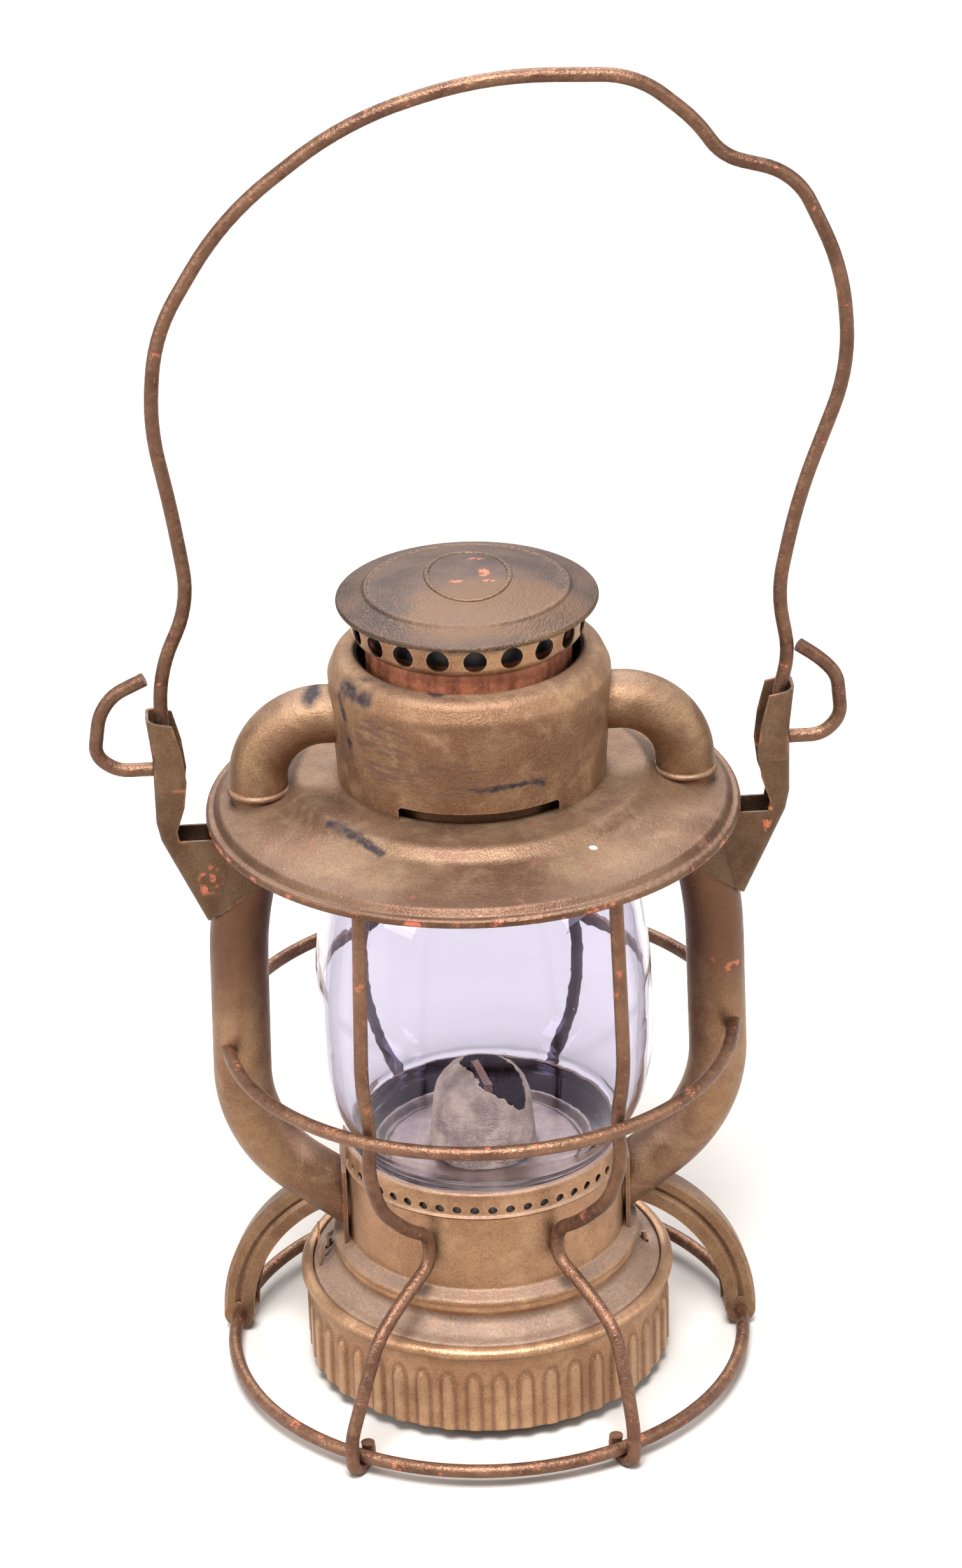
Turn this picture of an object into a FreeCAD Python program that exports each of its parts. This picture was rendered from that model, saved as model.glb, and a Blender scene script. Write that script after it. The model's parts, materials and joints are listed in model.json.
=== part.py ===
import FreeCAD, Part
import math
import os
import Sketcher

# Tubular kerosene hand lantern with a wire guard and a wire bail.
# Millimetres. +Z is up, +X runs from the left ear to the right ear, and -Y is the front.
# The origin is on the floor under the lantern's axis.

doc = FreeCAD.newDocument("lantern")
Vec = FreeCAD.Vector
UP = Vec(0, 0, 1)

# ---------------------------------------------------------------- driving dimensions

DIMENSIONS = {
    # stock
    "wire_radius": 2.1,
    "tin": 0.7,
    # wire base and legs
    "ring_radius": 80.3,
    "ring_height": 6.1,
    "leg_bend_radius": 54.2,
    "leg_depth": 10.0,
    "leg_width": 9.0,
    "leg_turn_right": 4.5,
    "leg_turn_left": 14.3,
    "eye_radius": 4.7,
    # bell: collar, bulge and shoulder
    "collar_radius": 43.3,
    "collar_foot": 48.8,
    "collar_top": 80.9,
    "collar_hole_height": 75.1,
    "collar_hole_radius": 1.4,
    "bulge_radius": 48.0,
    "shoulder_radius": 54.4,
    "shoulder_height": 34.6,
    # side tubes and elbows
    "tube_radius": 8.9,
    "tube_top_x": 63.9,
    "tube_mid_x": 72.2,
    "tube_low_x": 73.3,
    "tube_mid_height": 158.0,
    "tube_bend_height": 104.6,
    "tube_bend_radius": 45.8,
    "elbow_radius": 8.8,
    "elbow_bend_radius": 20.0,
    "elbow_height": 203.8,
    # hood and air drum
    "hood_radius": 80.4,
    "hood_rim_height": 192.4,
    "hood_height": 203.6,
    "hood_opening": 37.8,
    "drum_radius": 42.1,
    "drum_foot_radius": 40.1,
    "drum_shoulder": 238.0,
    "drum_top": 244.0,
    "drum_opening": 33.2,
    "notch_half_angle": 36.0,
    "notch_height": 4.2,
    # chimney
    "cap_radius": 39.2,
    "cap_rim_height": 259.6,
    "cap_height": 266.8,
    "vent_radius": 35.2,
    "vent_hole_height": 254.0,
    "vent_hole_radius": 3.4,
    "vent_foot": 247.6,
    "chimney_radius": 30.6,
    "chimney_foot": 184.6,
    # globe
    "globe_radius": 52.0,
    "globe_foot": 70.6,
    "globe_top": 184.6,
    "globe_offset": 1.5,
    # guard
    "guard_radius": 77.6,
    "guard_height": 115.6,
    "cage_plane_offset": 9.9,
    "cage_foot_offset_right": 15.2,
    "cage_foot_offset_left": 7.2,
    "cage_plane_angle": 52.0,
    # ears and bail
    "ear_face": 95.0,
    "ear_top": 226.4,
    "ear_half_width": 6.0,
    "pivot_height": 208.5,
    "bail_leg_x": 91.8,
    "pivot_clearance": 0.08,
    # fount and burner
    "fount_radius": 56.0,
    "fount_foot": 4.0,
    "fount_rim_height": 32.6,
    "rib_half_width": 2.8,
    "rib_round": 1.1,
    "cover_height": 27.4,
    "burner_radius": 15.0,
    "deck_height": 73.4,
    "cone_radius": 16.6,
    "cone_height": 104.0,
    "wick_width": 16.0,
    "wick_thickness": 2.4,
    "wick_top": 99.0,
    "shaft_height": 61.0,
    "shaft_radius": 1.5,
    "spur_radius": 4.5,
    "thumb_radius": 7.0,
    "burner_turn": 12.5,
}
COLLAR_HOLES = 50
VENT_HOLES = 20
FOUNT_RIBS = 44
BAYONETS = 3
BAYONET_ARC = 16.0
BAYONET_TURN = 30.0

sheet = doc.addObject("Spreadsheet::Sheet", "Sizes")
for row, (name, number) in enumerate(DIMENSIONS.items(), start=1):
    sheet.set("A%d" % row, name)
    sheet.set("B%d" % row, str(number))
    sheet.setAlias("B%d" % row, name)
doc.recompute()


class Size:
    """A length that carries both its value now and the expression that binds it to the sheet."""

    def __init__(self, text, value):
        self.text = text
        self.value = value

    def join(self, other, sign, result):
        text = other.text if isinstance(other, Size) else "%.6g" % other
        return Size("(%s %s %s)" % (self.text, sign, text), result)

    def __add__(self, other):
        return self.join(other, "+", self.value + number_of(other))

    def __sub__(self, other):
        return self.join(other, "-", self.value - number_of(other))

    def __mul__(self, other):
        return self.join(other, "*", self.value * number_of(other))


def number_of(length):
    return length.value if isinstance(length, Size) else float(length)


def size(name):
    return Size("Sizes." + name, float(sheet.get(name)))


def val(name):
    return float(sheet.get(name))


TIN = size("tin")

def plain(length):
    """A length that is the same whatever the sheet says."""
    return Size("%g" % length, float(length))


NONE = plain(0)

# ---------------------------------------------------------------- sketches and bodies


def origin_feature(body, role):
    return [part for part in body.Origin.OriginFeatures if part.Role == role][0]


def new_body(label):
    body = doc.addObject("PartDesign::Body", label)
    body.Label = label
    return body


def new_sketch(body, plane="XZ_Plane"):
    sketch = body.newObject("Sketcher::SketchObject", body.Name + "_sketch")
    sketch.AttachmentSupport = [(origin_feature(body, plane), "")]
    sketch.MapMode = "FlatFace"
    return sketch


def bind_point(sketch, geometry, end, x_size, y_size):
    """Hold one point at (x, y) from the sketch's origin, through the sheet."""
    for kind, length, axis in (("DistanceX", x_size, -2), ("DistanceY", y_size, -1)):
        if abs(length.value) < 1e-9:
            sketch.addConstraint(Sketcher.Constraint("PointOnObject", geometry, end, axis))
            continue
        index = sketch.addConstraint(Sketcher.Constraint(kind, -1, 1, geometry, end, length.value))
        sketch.setExpression("Constraints[%d]" % index, length.text)


def corner_arc(before, corner, after, radius):
    """The tangent arc that rounds a corner: its two ends, its middle and its turning sense."""
    into = (corner - before).normalize()
    out = (after - corner).normalize()
    turn = into.getAngle(out)
    reach = radius * math.tan(turn / 2)
    start = corner - into * reach
    end = corner + out * reach
    inward = (out - into).normalize()
    centre = corner + inward * (radius / math.cos(turn / 2))
    middle = centre - inward * radius
    return start, middle, end, into.cross(out).z > 0


def add_outline(sketch, corners):
    """A closed outline of lines, with each corner sharp or rounded by a tangent arc."""
    points = [Vec(x.value, y.value, 0) for x, y, _ in corners]
    count = len(points)
    arcs = []
    for index, (_, _, radius) in enumerate(corners):
        arc = None
        if radius is not None:
            arc = corner_arc(points[index - 1], points[index], points[(index + 1) % count], radius.value)
        arcs.append(arc)
    lines = []
    for index in range(count):
        after = (index + 1) % count
        start = arcs[index][2] if arcs[index] else points[index]
        end = arcs[after][0] if arcs[after] else points[after]
        lines.append(sketch.addGeometry(Part.LineSegment(start, end), False))
    for index, (x_size, y_size, radius) in enumerate(corners):
        before = lines[index - 1]
        after = lines[index]
        if arcs[index] is None:
            sketch.addConstraint(Sketcher.Constraint("Coincident", before, 2, after, 1))
            bind_point(sketch, after, 1, x_size, y_size)
            continue
        start, middle, end, left_turn = arcs[index]
        arc = sketch.addGeometry(Part.Arc(start, middle, end), False)
        first, last = (1, 2) if left_turn else (2, 1)
        sketch.addConstraint(Sketcher.Constraint("Tangent", before, 2, arc, first))
        sketch.addConstraint(Sketcher.Constraint("Tangent", arc, last, after, 1))
        bound = sketch.addConstraint(Sketcher.Constraint("Radius", arc, radius.value))
        sketch.setExpression("Constraints[%d]" % bound, radius.text)
        corner = sketch.addGeometry(Part.Point(points[index]), True)
        sketch.addConstraint(Sketcher.Constraint("PointOnObject", corner, 1, before))
        sketch.addConstraint(Sketcher.Constraint("PointOnObject", corner, 1, after))
        bind_point(sketch, corner, 1, x_size, y_size)


def sheet_outline(corners, thickness):
    """The outline of a thin pressing: its outer face's corners, then its inner face's, going back.

    The metal lies to the right of the way the corners run."""
    points = [Vec(x.value, y.value, 0) for x, y, _ in corners]
    inner = []
    for index, (x_size, y_size, radius) in enumerate(corners):
        runs = []
        if index > 0:
            runs.append((points[index] - points[index - 1]).normalize())
        if index < len(points) - 1:
            runs.append((points[index + 1] - points[index]).normalize())
        normals = [Vec(run.y, -run.x, 0) for run in runs]
        if len(normals) == 1 and x_size.value < 1e-9:
            offset = Vec(0, 1 / normals[0].y, 0)
            left_turn = False
        elif len(normals) == 1:
            offset = normals[0]
            left_turn = False
        else:
            offset = (normals[0] + normals[1]) * (1 / (1 + normals[0].dot(normals[1])))
            left_turn = runs[0].cross(runs[1]).z > 0
        bend = None
        if radius is not None:
            bend = radius + thickness if left_turn else radius - thickness
        inner_x = x_size if abs(offset.x) < 1e-9 else x_size + thickness * offset.x
        inner.append((inner_x, y_size + thickness * offset.y, bend))
    return list(corners) + inner[::-1]


def turned(label, corners):
    """A body of revolution about the Z axis."""
    body = new_body(label)
    sketch = new_sketch(body)
    add_outline(sketch, corners)
    solid = body.newObject("PartDesign::Revolution", body.Name + "_turned")
    solid.Profile = sketch
    solid.ReferenceAxis = (sketch, ["V_Axis"])
    solid.Angle = 360.0
    body.Tip = solid
    doc.recompute()
    if body.Shape.isNull():
        raise RuntimeError(label + ": the outline could not be turned")
    return body


def cut_through(body, corners=None, circle=None, both_sides=False):
    """A pocket drawn in the XZ plane and cut along Y, from the axis outwards or both ways."""
    before = body.Shape.Volume
    sketch = new_sketch(body)
    if corners:
        add_outline(sketch, corners)
    else:
        x_size, y_size, radius = circle
        ring = sketch.addGeometry(Part.Circle(Vec(x_size.value, y_size.value, 0), UP, radius.value), False)
        bind_point(sketch, ring, 3, x_size, y_size)
        bound = sketch.addConstraint(Sketcher.Constraint("Radius", ring, radius.value))
        sketch.setExpression("Constraints[%d]" % bound, radius.text)
    pocket = body.newObject("PartDesign::Pocket", body.Name + "_cut")
    pocket.Profile = sketch
    pocket.Type = 0
    pocket.Length = 100.0
    pocket.Midplane = both_sides
    pocket.Reversed = not both_sides
    body.Tip = pocket
    doc.recompute()
    if body.Shape.Volume > before - 1e-6:
        raise RuntimeError(body.Label + ": the pocket removed nothing")
    return pocket


def repeat_round(body, feature, count):
    pattern = body.newObject("PartDesign::PolarPattern", body.Name + "_pattern")
    pattern.Originals = [feature]
    pattern.Axis = (origin_feature(body, "Z_Axis"), [""])
    pattern.Angle = 360.0
    pattern.Occurrences = count
    body.Tip = pattern
    doc.recompute()


# ---------------------------------------------------------------- bent wire, tube and sheet


def placed_shape(label, shape):
    feature = doc.addObject("Part::Feature", label)
    feature.Label = label
    feature.Shape = shape
    return feature


def bent_path(points, radii):
    """Straight runs between the points, joined by tangent arcs of the given radii."""
    edges = []
    start = points[0]
    for index in range(1, len(points) - 1):
        arc_start, middle, arc_end, _ = corner_arc(points[index - 1], points[index], points[index + 1],
                                                   radii[index - 1])
        if start.distanceToPoint(arc_start) > 1e-4:
            edges.append(Part.makeLine(start, arc_start))
        edges.append(Part.Arc(arc_start, middle, arc_end).toShape())
        start = arc_end
    edges.append(Part.makeLine(start, points[-1]))
    return Part.Wire(edges)


def soft_radii(points, share=0.45):
    """The bend radius at each inner point that its two runs leave room for."""
    radii = []
    for before, corner, after in zip(points, points[1:], points[2:]):
        turn = (corner - before).getAngle(after - corner)
        run = min(before.distanceToPoint(corner), corner.distanceToPoint(after))
        radii.append(share * run / math.tan(turn / 2))
    return radii


def rod(path, radius):
    """A round bar along a path."""
    first = path.Edges[0]
    start = first.valueAt(first.FirstParameter)
    along = first.tangentAt(first.FirstParameter)
    section = Part.Wire([Part.makeCircle(radius, start, along)])
    return path.makePipeShell([section], True, True)


def largest(shape):
    """The biggest solid of a shape: what is left when a cut frees an offcut."""
    return sorted(shape.Solids, key=lambda solid: solid.Volume)[-1]


def in_xz(pairs):
    return [Vec(x, 0, z) for x, z in pairs]


def mirrored(shape, normal):
    return shape.mirror(Vec(0, 0, 0), normal)


def prism(pairs, low_y, high_y):
    """An outline in the XZ plane, carried along Y."""
    corners = [Vec(x, low_y, z) for x, z in pairs]
    face = Part.Face(Part.makePolygon(corners + corners[:1]))
    return face.extrude(Vec(0, high_y - low_y, 0))


def revolved(pairs, angle=360.0):
    """An outline of (radius, height) pairs, turned about Z from the XZ plane."""
    corners = in_xz(pairs)
    face = Part.Face(Part.makePolygon(corners + corners[:1]))
    return face.revolve(Vec(0, 0, 0), UP, angle)


# ================================================================ the frame
# ---------------------------------------------------------------- wire base

ring = doc.addObject("Part::Torus", "base_ring")
ring.Label = "base_ring"
ring.setExpression("Radius1", "Sizes.ring_radius")
ring.setExpression("Radius2", "Sizes.wire_radius")
ring.setExpression("Placement.Base.z", "Sizes.ring_height")
doc.recompute()

WIRE = val("wire_radius")
RING_R = val("ring_radius")
RING_Z = val("ring_height")

# ---------------------------------------------------------------- bell

bell_corners = [
    (size("collar_radius") - 1.6, size("collar_top"), None),
    (size("collar_radius") + 0.3, size("collar_top") + 0.1, plain(0.9)),
    (size("collar_radius"), size("collar_top") - 2.2, None),
    (size("collar_radius"), size("collar_hole_height") - 1.6, None),
    (size("collar_radius") + 0.6, size("collar_hole_height") - 2.4, None),
    (size("collar_radius"), size("collar_hole_height") - 3.2, None),
    (size("collar_radius"), size("collar_foot") - 1.6, plain(1.2)),
    (size("bulge_radius"), size("collar_foot") - 3.6, plain(1.8)),
    (size("bulge_radius") - 1.4, size("shoulder_height") + 3.4, plain(2.4)),
    (size("bulge_radius") + 2.8, size("shoulder_height"), plain(2.6)),
    (size("shoulder_radius"), size("shoulder_height") - 0.4, plain(1.2)),
    (size("shoulder_radius") - 0.2, size("shoulder_height") - 5.6, None),
]
bell = turned("bell", sheet_outline(bell_corners, TIN))
hole = cut_through(bell, circle=(NONE, size("collar_hole_height"), size("collar_hole_radius")))
repeat_round(bell, hole, COLLAR_HOLES)

# The back of the bell has a slot for the wick shaft: across, for the fount's part turn, and down to a
# wide notch in the shoulder, for dropping the fount out.
back_wall = revolved([(40, 10), (62, 10), (62, 100), (40, 100)], 180.0)
slot_across = prism([(-6.2, 57.6), (14.4, 57.6), (14.4, 64.4), (-6.2, 64.4)], 0, 70)
slot_down = prism([(8.9, 50), (14.4, 50), (14.4, 62), (8.9, 62)], 0, 70)
shoulder_notch = prism([(4.6, 24), (21.4, 24), (21.4, 51), (4.6, 51)], 0, 70)
wick_slot = slot_across.fuse(slot_down).fuse(shoulder_notch)
slot_tool = placed_shape("wick_slot_tool", back_wall.common(wick_slot))
bell_cut = doc.addObject("Part::Cut", "bell_slotted")
bell_cut.Base = bell
bell_cut.Tool = slot_tool
doc.recompute()

# ---------------------------------------------------------------- hood and air drum

hood_corners = [
    (size("hood_opening"), size("hood_height"), None),
    (size("hood_opening") + 14.6, size("hood_height") - 0.2, plain(4.0)),
    (size("hood_opening") + 19.0, size("hood_height") - 3.4, plain(5.0)),
    (size("hood_radius") - 4.2, size("hood_rim_height") + 3.4, plain(1.6)),
    (size("hood_radius") - 2.6, size("hood_rim_height") + 1.2, plain(1.0)),
    (size("hood_radius") - 0.6, size("hood_rim_height") + 1.5, plain(1.1)),
    (size("hood_radius"), size("hood_rim_height") - 1.0, plain(0.9)),
    (size("hood_radius") - 2.2, size("hood_rim_height") - 1.5, None),
]
hood = turned("hood", sheet_outline(hood_corners, TIN))
for side in (-1, 1):
    mouth = new_sketch(hood, "XY_Plane")
    centre_x = Size("(Sizes.tube_top_x * %d)" % side, side * val("tube_top_x"))
    circle = mouth.addGeometry(Part.Circle(Vec(centre_x.value, 0, 0), UP, 8.0), False)
    bind_point(mouth, circle, 3, centre_x, NONE)
    mouth.addConstraint(Sketcher.Constraint("Radius", circle, val("tube_radius") - 1.4))
    pocket = hood.newObject("PartDesign::Pocket", "hood_mouth")
    pocket.Profile = mouth
    pocket.Type = 0
    pocket.Length = 260.0
    pocket.Reversed = True
    hood.Tip = pocket
    doc.recompute()

drum_corners = [
    (size("drum_opening"), size("drum_top") - 1.0, None),
    (size("drum_opening") + 1.4, size("drum_top"), plain(1.6)),
    (size("drum_radius") - 2.6, size("drum_top") - 1.2, plain(4.0)),
    (size("drum_radius"), size("drum_shoulder") - 1.0, plain(4.0)),
    (size("drum_foot_radius"), size("hood_height"), None),
]
drum = turned("air_drum", sheet_outline(drum_corners, TIN))
notch_half = Size("(Sizes.drum_foot_radius * sin(Sizes.notch_half_angle * 1deg))",
                  val("drum_foot_radius") * math.sin(math.radians(val("notch_half_angle"))))
notch_top = size("hood_height") + size("notch_height")
cut_through(drum, corners=[
    (Size("-" + notch_half.text, -notch_half.value), size("hood_height") - 1.0, None),
    (notch_half, size("hood_height") - 1.0, None),
    (notch_half, notch_top, plain(1.2)),
    (Size("-" + notch_half.text, -notch_half.value), notch_top, plain(1.2)),
], both_sides=True)

sleeve = turned("chimney_sleeve", [
    (size("drum_opening") + 1.2, size("hood_height") - 1.4, None),
    (size("drum_opening") + 1.2, size("drum_shoulder") - 4.0, None),
    (size("drum_opening") + 1.7, size("drum_shoulder") - 4.0, None),
    (size("drum_opening") + 1.7, size("hood_height") - 0.8, None),
    (size("hood_opening") + 2.0, size("hood_height") - 0.8, None),
    (size("hood_opening") + 2.0, size("hood_height") - 1.4, None),
])

# ---------------------------------------------------------------- side tubes, elbows, ears
# Solids that stand for "under the hood's top", "over the hood's underside" and "inside the drum".

HOOD_SLOPE = 13
BEYOND_HOOD = 90
hood_top = [(x.value, z.value) for x, z, _ in hood_corners[:4]]
hood_under = [(x, z - val("tin") / math.cos(math.radians(HOOD_SLOPE))) for x, z in hood_top]
below_hood = revolved([(0, 150), (BEYOND_HOOD, 150)] + hood_under[::-1] + [(0, hood_under[0][1])])
under_hood_top = hood.Shape.fuse(below_hood)
above_hood = revolved([(0, 270), (BEYOND_HOOD, 270)] + hood_top[::-1] + [(0, hood_top[0][1])])
over_hood_floor = hood.Shape.fuse(above_hood)
inside_drum = revolved([(0, val("hood_height")), (val("drum_foot_radius"), val("hood_height")),
                        (val("drum_radius"), val("drum_shoulder") - 1.0), (0, val("drum_shoulder") - 1.0)])
inside_collar = Part.makeCylinder(val("collar_radius"), 60, Vec(0, 0, 30))
inside_bell = revolved([(0, 20), (50, 20), (50, 33.7), (46, 36.4), (42.8, 47), (42.8, 80), (0, 80)])
bell_solid = bell.Shape.fuse(inside_bell)


TUBE_BEND_ANGLE = 52
TUBE_RUN_IN = 24
ELBOW_RUN_IN = 12


def side_tube_path():
    """From above the hood, outwards and down beside the globe, and in to the collar."""
    bend_x = val("tube_low_x") - val("tube_bend_radius")
    bend_z = val("tube_bend_height")
    reach = val("tube_bend_radius")
    end_angle = math.radians(-TUBE_BEND_ANGLE)
    bend_end = Vec(bend_x + reach * math.cos(end_angle), 0, bend_z + reach * math.sin(end_angle))
    run_in = Vec(math.sin(end_angle), 0, -math.cos(end_angle))
    bend_middle = Vec(bend_x + reach * math.cos(end_angle / 2), 0, bend_z + reach * math.sin(end_angle / 2))
    low = Vec(val("tube_low_x"), 0, bend_z)
    upper = in_xz([(val("tube_top_x"), 208), (val("tube_top_x"), 190),
                   (val("tube_mid_x"), val("tube_mid_height"))]) + [low]
    edges = bent_path(upper, [60.0, 120.0]).Edges
    edges.append(Part.Arc(low, bend_middle, bend_end).toShape())
    edges.append(Part.makeLine(bend_end, bend_end + run_in * TUBE_RUN_IN))
    return Part.Wire(edges)


def elbow_path():
    top_x = val("tube_top_x")
    bend = val("elbow_bend_radius")
    axis_z = val("elbow_height") + bend
    return bent_path(in_xz([(top_x, 186), (top_x, axis_z), (top_x - bend - ELBOW_RUN_IN, axis_z)]), [bend])


tube_outer = rod(side_tube_path(), val("tube_radius"))
tube_bore = rod(side_tube_path(), val("tube_radius") - val("tin"))
seam_strip = prism([(43.2, 46), (44.6, 46), (44.6, 72), (43.2, 72)], -10.4, 10.4)
seam_strip = seam_strip.cut(inside_collar)
side_tube = largest(tube_outer.fuse(seam_strip).cut(tube_bore).cut(bell_solid).cut(over_hood_floor))

elbow_outer = rod(elbow_path(), val("elbow_radius"))
elbow_bore = rod(elbow_path(), val("elbow_radius") - val("tin"))
BEAD_RADIUS = 1.1
bead_centre = Vec(val("tube_top_x"), 0, val("elbow_height") - 3.4)
bead = Part.makeTorus(val("elbow_radius") - 0.1, BEAD_RADIUS, bead_centre, UP)
elbow = largest(elbow_outer.fuse(bead).cut(elbow_bore).cut(inside_drum).cut(under_hood_top))

# Each ear is a channel that opens towards the lantern, on a saddle round the top of the side tube.
FACE = val("ear_face")
PIVOT_Z = val("pivot_height")
LIP_FOOT = PIVOT_Z - 5.0
EAR_HALF = val("ear_half_width")
EAR_SKIN = 0.8
EAR_ROUND = 3.4
BACK_CORNERS = 5
ear_back = [(FACE + 1.4, val("ear_top")), (FACE, 213), (FACE, 192), (FACE - 1.2, 186),
            (81.4, 158.6), (72.4, 166.6), (66.4, 171.6), (66.4, 186.6), (88.2, 186.6), (88.8, 190),
            (86.2, 198), (85.2, 206), (86.2, 215), (88.6, 224.6)]
ear_hollow = [(FACE + 1.4 - EAR_SKIN, val("ear_top") + 1), (FACE - EAR_SKIN, 213), (FACE - EAR_SKIN, 192),
              (FACE - 1.2 - EAR_SKIN, 186.2), (80.6, 157), (60, 157), (60, val("ear_top") + 1)]


def rounded_back(pairs, back, half_width, radius):
    """The outline carried across the ear, with its back's first runs rounded into its flanks."""
    block = prism(pairs, -half_width, half_width)
    corners = [Vec(x, 0, z) for x, z in pairs[:back]]
    long_edges = []
    for edge in block.Edges:
        ends = [vertex.Point for vertex in edge.Vertexes]
        flat = [Vec(end.x, 0, end.z) for end in ends]
        on_back = all(min(end.distanceToPoint(corner) for corner in corners) < 1e-4 for end in flat)
        if on_back and ends[0].distanceToPoint(ends[1]) > 1.0 and abs(ends[0].y - ends[1].y) < 1e-4:
            long_edges.append(edge)
    return block.makeFillet(radius, long_edges)


channel = rounded_back(ear_back, BACK_CORNERS, EAR_HALF, EAR_ROUND)
hollow = rounded_back(ear_hollow, BACK_CORNERS, EAR_HALF - EAR_SKIN, EAR_ROUND - EAR_SKIN)
saddle_band = [(FACE, 186.6), (FACE, 170), (81.4, 158.6), (72.4, 166.6), (66.4, 171.6), (66.4, 186.6)]
saddle = rod(side_tube_path(), val("tube_radius") + EAR_SKIN).common(prism(saddle_band, -16, 16))
pivot_hole = Part.makeCylinder(WIRE + val("pivot_clearance"), 12, Vec(FACE - 4, 0, PIVOT_Z), Vec(1, 0, 0))
whole_ear = channel.cut(hollow).fuse(saddle).cut(tube_outer).cut(pivot_hole)
lip_region = prism([(84, LIP_FOOT), (FACE - EAR_SKIN, LIP_FOOT), (FACE - EAR_SKIN, 213),
                    (FACE + 1.4 - EAR_SKIN, val("ear_top") + 1), (84, val("ear_top") + 1)], -8, 8)
ear = whole_ear.cut(lip_region)
lips = whole_ear.common(lip_region)

# ---------------------------------------------------------------- legs
# A leg's channel has a groove pressed along both flanks, and its foot is rolled round the ring.


LEG_SKIN = 0.9
LEG_GROOVE = 0.9
LEG_SWEEP = 70.0


def leg_shape(turn):
    """A leg in the XZ plane, turned back by this many degrees."""
    centre = Vec(RING_R - val("leg_bend_radius"), 0, RING_Z)
    deep = val("leg_depth") / 2
    wide = val("leg_width") / 2
    outer = [(-deep, wide), (-1.3, wide), (0, wide - LEG_GROOVE), (1.3, wide),
             (deep - 1.2, wide), (deep, wide - 1.4)]
    under = wide - LEG_SKIN
    inner = [(-deep, under), (-1.5, under), (0, under - LEG_GROOVE), (1.5, under),
             (deep - LEG_SKIN - 0.8, under), (deep - LEG_SKIN, wide - 1.9)]
    half = outer + [(u, -v) for u, v in outer[::-1]]
    back = [(u, -v) for u, v in inner] + inner[::-1]
    ends = [Vec(RING_R + u, v, RING_Z) for u, v in half + back]
    section = Part.Face(Part.makePolygon(ends + ends[:1]))
    swept = section.revolve(centre, Vec(0, -1, 0), LEG_SWEEP)
    eye = Part.makeCylinder(val("eye_radius"), val("leg_width"), Vec(RING_R, -wide, RING_Z), Vec(0, 1, 0))
    leg = swept.fuse(eye)
    leg.rotate(Vec(0, 0, 0), UP, turn)
    return largest(leg.cut(ring.Shape).cut(tube_outer).cut(side_tube).cut(bell_solid))


for side, name in ((1, "right"), (-1, "left")):
    leg = leg_shape(val("leg_turn_" + name))
    shapes = {"side_tube": side_tube, "elbow": elbow, "ear": ear, "ear_lips": lips, "leg": leg}
    for stem, shape in shapes.items():
        placed_shape("%s_%s" % (stem, name), shape if side > 0 else mirrored(shape, Vec(1, 0, 0)))

# ---------------------------------------------------------------- guard

tubes = tube_outer.fuse(mirrored(tube_outer, Vec(1, 0, 0)))
guard = Part.makeTorus(val("guard_radius"), WIRE, Vec(0, 0, val("guard_height")), UP)
guard = guard.cut(tubes)
for side, name in ((-1, "front"), (1, "back")):
    half_space = Part.makeBox(200, 100, 20, Vec(-100, 0 if side > 0 else -100, val("guard_height") - 10))
    placed_shape("guard_" + name, largest(guard.common(half_space)))


COLLAR_BEND_Z = 56.6
HOOK_BEND_Z = 14.0
HOOK_END = Vec(0.4, 0, 2.6)
RING_GAP = 0.01
ring_room = Part.makeTorus(RING_R, WIRE + RING_GAP, Vec(0, 0, RING_Z), UP)


def cage_wire(foot_offset):
    """One cage wire, close to its own upright plane: from the hood, behind the guard ring, in to the
    collar, out to the base ring and hooked round it from outside. u runs outwards in that plane. Below
    the collar the wire leans along the ring, until its foot is foot_offset out of the lantern's axis."""
    plane_offset = val("cage_plane_offset")
    ring_u = math.sqrt(RING_R ** 2 - foot_offset ** 2)
    wrap = 2 * WIRE
    route = [(72.6, 199), (74.4, 160), (75.4, 133), (72.0, 116.0), (73.8, 103), (68.5, 87), (55, 73.6),
             (44.6, 66.6), (44.0, COLLAR_BEND_Z), (59, 50.4), (71.6, 43), (78.6, 27),
             (ring_u + wrap, HOOK_BEND_Z), (ring_u + wrap, RING_Z)]
    points = []
    for u, z in route:
        lean = min(1.0, max(0.0, (COLLAR_BEND_Z - z) / (COLLAR_BEND_Z - HOOK_BEND_Z)))
        points.append(Vec(u, -plane_offset + lean * (plane_offset - foot_offset), z))
    edges = bent_path(points, soft_radii(points)).Edges
    foot_y = Vec(0, -foot_offset, 0)
    below = Vec(ring_u, 0, RING_Z - wrap) + foot_y
    inside = Vec(ring_u - wrap, 0, RING_Z) + foot_y
    edges.append(Part.Arc(points[-1], below, inside).toShape())
    edges.append(Part.makeLine(inside, inside + HOOK_END))
    wire = rod(Part.Wire(edges), WIRE)
    wire.rotate(Vec(0, 0, 0), UP, -val("cage_plane_angle"))
    worn_off = Part.makeBox(300, 300, 10, Vec(-150, -150, -10))
    return wire.cut(worn_off).cut(over_hood_floor).cut(ring_room).cut(bell_solid)


right_front = cage_wire(val("cage_foot_offset_right"))
left_front = mirrored(cage_wire(val("cage_foot_offset_left")), Vec(1, 0, 0))
for name, shape in (("right", right_front), ("left", left_front)):
    placed_shape("cage_wire_front_" + name, shape)
    placed_shape("cage_wire_back_" + name, mirrored(shape, Vec(0, 1, 0)))

# ---------------------------------------------------------------- globe and its seat

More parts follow.
